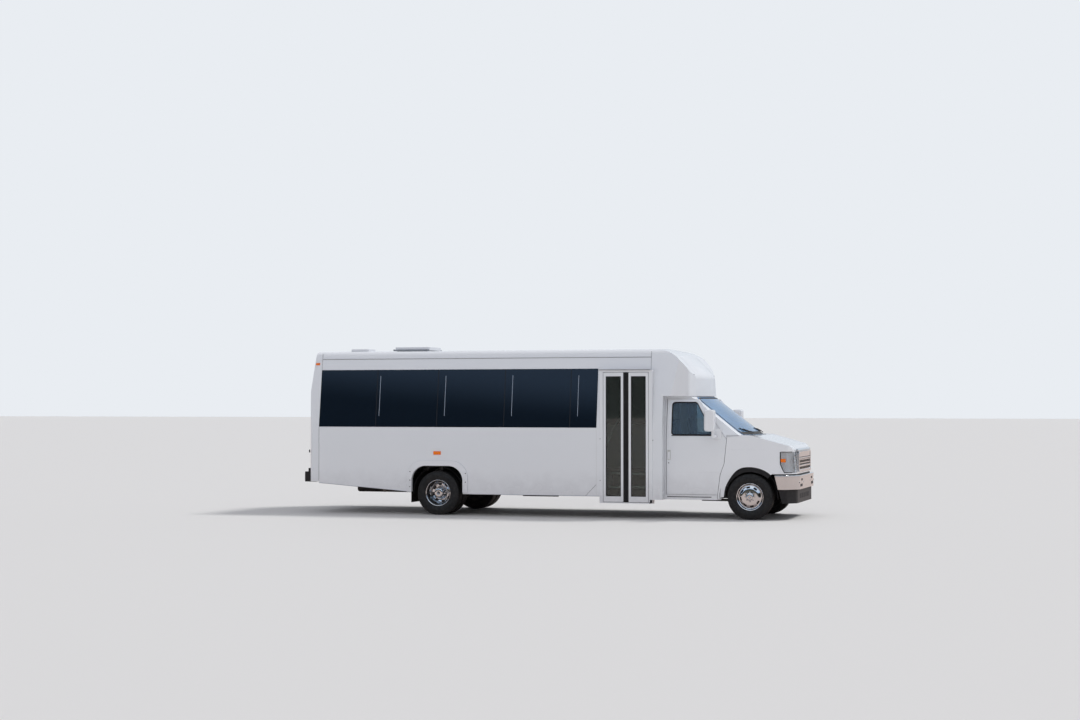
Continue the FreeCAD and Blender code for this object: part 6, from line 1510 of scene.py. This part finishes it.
class BUS_OT_interior(bpy.types.Operator):
    """Builds the padded seats, their frames and rails, and the driver's place"""

    bl_idname = "bus.interior"
    bl_label = "Interior"

    def execute(self, context):
        # side outlines about the seat's front edge and the cushion's top: x, z
        seat = [(-0.012, -0.022), (-0.012, -0.098), (-0.395, -0.098), (-0.352, -0.022)]
        back = [(-0.372, -0.020), (-0.420, -0.060), (-0.512, 0.622), (-0.458, 0.628)]
        rows = [0.5865 - 0.76 * row for row in range(6)]
        cab_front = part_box("cab_seats")[1].x
        # each seat's front edge, middle, cushion's top and label
        benches = [(x, sign * (0.435 + 0.450 * number), 1.190, "%s_%d_%d" % (side, row, number))
                   for row, x in enumerate(rows) for side, sign in SIDES for number in (0, 1)]
        cab_places = [(cab_front, sign * 0.620, 1.015, side) for side, sign in SIDES]
        for kind, node, width, places in (("bench", "passenger_seats", 0.430, benches),
                                          ("cab", "cab_seats", 0.462, cab_places)):
            bases = [(part, cushion("%s_%s_form" % (kind, part), outline, width))
                     for part, outline in (("seat", seat), ("back", back))]
            stood_for = (node,)
            for x, y, z, label in places:
                for part, base in bases:
                    mesh = base.data.copy()
                    mesh.transform(Matrix.Translation((x, y, z)))
                    item = new_object("%s_%s_%s" % (kind, part, label), mesh)
                    hand_over(item, "cloth", "coach", stood_for)
                    stood_for = ()
            for part, base in bases:
                bpy.data.objects.remove(base)
        legs = []
        for x in rows:
            for side, sign in SIDES:
                for across in ((0.27, 0.30), (1.06, 1.09)):
                    for along in ((x - 0.340, x - 0.300), (x - 0.090, x - 0.050)):
                        legs.append(side_box(sign, along, across, (0.744, 1.080)))
                legs.append(side_box(sign, (x - 0.345, x - 0.045), (0.225, 1.098), (1.070, 1.088)))
        blocks("bench_frames", legs, "black_steel", "coach", 0.002, 1)
        plinths = [side_box(sign, (cab_front - 0.38, cab_front - 0.06), (0.42, 0.82), (0.690, 0.905))
                   for side, sign in SIDES]
        blocks("cab_seat_plinths", plinths, "black_plastic", "coach", 0.012)
        rod("driver_stanchion", [(2.05, 0.24, 0.905), (2.05, 0.24, 2.55)], 0.016, "light_plastic", "coach")
        panel_copy("steering_wheel", "steering_wheel_rim", "black_plastic", "steering_wheel", 0.004, 3)
        panel_copy("steering_column", "steering_shroud", "black_plastic", "coach", 0.008)
        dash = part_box("dashboard")[0].x
        blocks("dash_cluster", [((dash + 0.004, 0.20, 1.262), (dash + 0.160, 0.60, 1.338))],
               "black_plastic", "coach", 0.020, 4)
        blocks("dash_vents", [((dash - 0.004, y - 0.06, 1.185), (dash + 0.010, y + 0.06, 1.235))
                              for y in (-0.75, -0.12, 0.12, 0.75)], "black_plastic", "coach", 0.004)
        blocks("glove_box", [((dash - 0.006, -0.66, 1.010), (dash + 0.010, -0.30, 1.150))],
               "grey_plastic", "coach", 0.010, 3)
        return {"FINISHED"}


class BUS_OT_stage(bpy.types.Operator):
    """Sets up the floor, the soft studio light and the camera of the photograph"""

    bl_idname = "bus.stage"
    bl_label = "Stage"

    def execute(self, context):
        looks = context.scene.stage_looks
        self.floor(looks)
        self.surroundings(context, looks)
        # name, direction that the light comes from, strength, angle
        for name, source, strength, spread in (
                ("Key", (0.75, 0.55, 1.3), looks.sun_strength, 12),
                ("Near fill", (0.1, -1.0, 0.5), looks.sun_strength * 0.26, 50)):
            lamp = bpy.data.lights.new(name, "SUN")
            lamp.energy = strength
            lamp.angle = math.radians(spread)
            item = bpy.data.objects.new(name, lamp)
            context.scene.collection.objects.link(item)
            item.visible_glossy = name == "Key"
            item.rotation_euler = Vector(source).to_track_quat("Z", "Y").to_euler()
        self.camera(context)
        context.scene.view_settings.view_transform = "Standard"
        return {"FINISHED"}

    def floor(self, looks):
        """The plain floor, which glossy surfaces see a little warmer: a painted reflection of a warm road
        colour.
        """
        half = looks.floor_size / 2
        shape = bmesh.new()
        shape.faces.new([shape.verts.new((x, y, 0)) for x, y in (
            (-half, -half), (half, -half), (half, half), (-half, half))])
        floor = mesh_object("floor", shape)
        material, tree, surface = base_material("Pale studio floor", "#FFFFFF", 0.75, Specular_IOR_Level=0.2)
        # painted reflection: glossy rays see the floor in a warm road colour in place of its own
        path = add_node(tree, "ShaderNodeLightPath")
        shade = add_node(tree, "ShaderNodeMix", {"data_type": "RGBA"},
                         {"Factor": path.outputs["Is Glossy Ray"]})
        shade.inputs[6].default_value = (*looks.floor_colour, 1)
        shade.inputs[7].default_value = hex_colour("#D9C6BA")
        tree.links.new(shade.outputs[2], surface.inputs["Base Color"])
        floor.data.materials.append(material)

    def surroundings(self, context, looks):
        """The even light, a pale backdrop for the camera, and a lit room that only glossy surfaces see."""
        world = bpy.data.worlds.new("Studio")
        context.scene.world = world
        world.use_nodes = True
        tree = world.node_tree
        rays = add_node(tree, "ShaderNodeLightPath")
        seen = rays.outputs["Is Camera Ray"]
        for kind in ("Is Glossy Ray", "Is Transmission Ray"):
            seen = add_node(tree, "ShaderNodeMath", {"operation": "MAXIMUM"}, {
                0: seen, 1: rays.outputs[kind]}).outputs[0]
        light = tree.nodes["Background"]
        light.inputs["Color"].default_value = hex_colour("#E9EBF7")
        light.inputs["Strength"].default_value = looks.sky_strength
        backdrop = add_node(tree, "ShaderNodeBackground", {"Strength": 1.0})
        backdrop.inputs["Color"].default_value = hex_colour("#E9EDF2")
        place = add_node(tree, "ShaderNodeTexCoord")
        height = add_node(tree, "ShaderNodeSeparateXYZ", {}, {"Vector": place.outputs["Generated"]})
        near = add_node(tree, "ShaderNodeMapRange", {"From Min": -0.15, "From Max": 0.15},
                        {"Value": height.outputs["Y"]})
        blend = add_node(tree, "ShaderNodeMix", {"data_type": "RGBA"}, {"Factor": near.outputs["Result"]})
        # what glossy surfaces see on the right and on the left: colours from the horizon to straight up
        for socket, table in (
                (6, ((0.0, "#55544E"), (0.236, "#3F413A"), (0.252, "#A3C0E6"), (0.45, "#CFE0F6"),
                     (1.0, "#F6FAFF"))),
                (7, ((0.0, "#BFC6CE"), (0.10, "#D3DBE4"), (0.35, "#E6EDF5"), (1.0, "#F6FAFF")))):
            bands = add_node(tree, "ShaderNodeValToRGB", {}, {"Fac": height.outputs["Z"]})
            ramp = bands.color_ramp
            ramp.elements[0].position, ramp.elements[1].position = 0.0, 1.0
            ramp.elements[0].color = hex_colour(table[0][1])
            ramp.elements[1].color = hex_colour(table[-1][1])
            for spot, colour in table[1:-1]:
                ramp.elements.new(spot).color = hex_colour(colour)
            tree.links.new(bands.outputs["Color"], blend.inputs[socket])
        mirrored = add_node(tree, "ShaderNodeBackground", {"Strength": 1.0}, {"Color": blend.outputs[2]})
        shown = add_node(tree, "ShaderNodeMixShader", {}, {
            0: seen, 1: light.outputs[0], 2: backdrop.outputs[0]})
        whole = add_node(tree, "ShaderNodeMixShader", {}, {
            0: rays.outputs["Is Glossy Ray"], 1: shown.outputs[0], 2: mirrored.outputs[0]})
        tree.links.new(whole.outputs[0], tree.nodes["World Output"].inputs["Surface"])

    def camera(self, context):
        """The camera of the photograph: its place was worked out from the vehicle's own lines."""
        picture_width, film_width, focal_pixels = 1080, 36.0, 1833.4
        turn, tilt = math.radians(17.167), math.radians(1.35)
        ahead = Vector((-math.sin(turn) * math.cos(tilt), math.cos(turn) * math.cos(tilt), math.sin(tilt)))
        across = Vector((math.cos(turn), math.sin(turn), 0))
        up = across.cross(ahead)
        lens = bpy.data.cameras.new("Photograph")
        lens.sensor_width = film_width
        lens.lens = focal_pixels * film_width / picture_width
        lens.clip_end = 1000
        camera = bpy.data.objects.new("Photograph", lens)
        context.scene.collection.objects.link(camera)
        turned = Matrix((across, up, -ahead)).transposed()
        camera.matrix_world = Matrix.LocRotScale(Vector((front_axle.x + 5.505, -30.268, 1.884)), turned, None)
        context.scene.camera = camera


classes = [BusLooks, StageLooks, BUS_OT_panels, BUS_OT_underbody, BUS_OT_glass, BUS_OT_wheels, BUS_OT_entry,
           BUS_OT_nose, BUS_OT_cab, BUS_OT_body_trim, BUS_OT_rear, BUS_OT_interior, BUS_OT_stage]


class BUS_PT_panel(bpy.types.Panel):
    """Lists the bus's pieces and their sizes"""

    bl_idname = "BUS_PT_panel"
    bl_label = "Minibus"
    bl_space_type = "VIEW_3D"
    bl_region_type = "UI"
    bl_category = "Minibus"

    def draw(self, context):
        for group in (context.scene.bus_looks, context.scene.stage_looks):
            for name in group.__annotations__:
                self.layout.prop(group, name)
        for kind in classes:
            if hasattr(kind, "execute"):
                self.layout.operator(kind.bl_idname)


def register():
    for kind in classes:
        bpy.utils.register_class(kind)
    bpy.utils.register_class(BUS_PT_panel)
    bpy.types.Scene.bus_looks = bpy.props.PointerProperty(type=BusLooks)
    bpy.types.Scene.stage_looks = bpy.props.PointerProperty(type=StageLooks)


def unregister():
    del bpy.types.Scene.stage_looks
    del bpy.types.Scene.bus_looks
    bpy.utils.unregister_class(BUS_PT_panel)
    for kind in reversed(classes):
        bpy.utils.unregister_class(kind)


def main():
    """Builds everything by the operators, in order."""
    register()
    for kind in classes:
        if hasattr(kind, "execute"):
            family, action = kind.bl_idname.split(".")
            getattr(getattr(bpy.ops, family), action)()


if __name__ == "__main__":
    main()
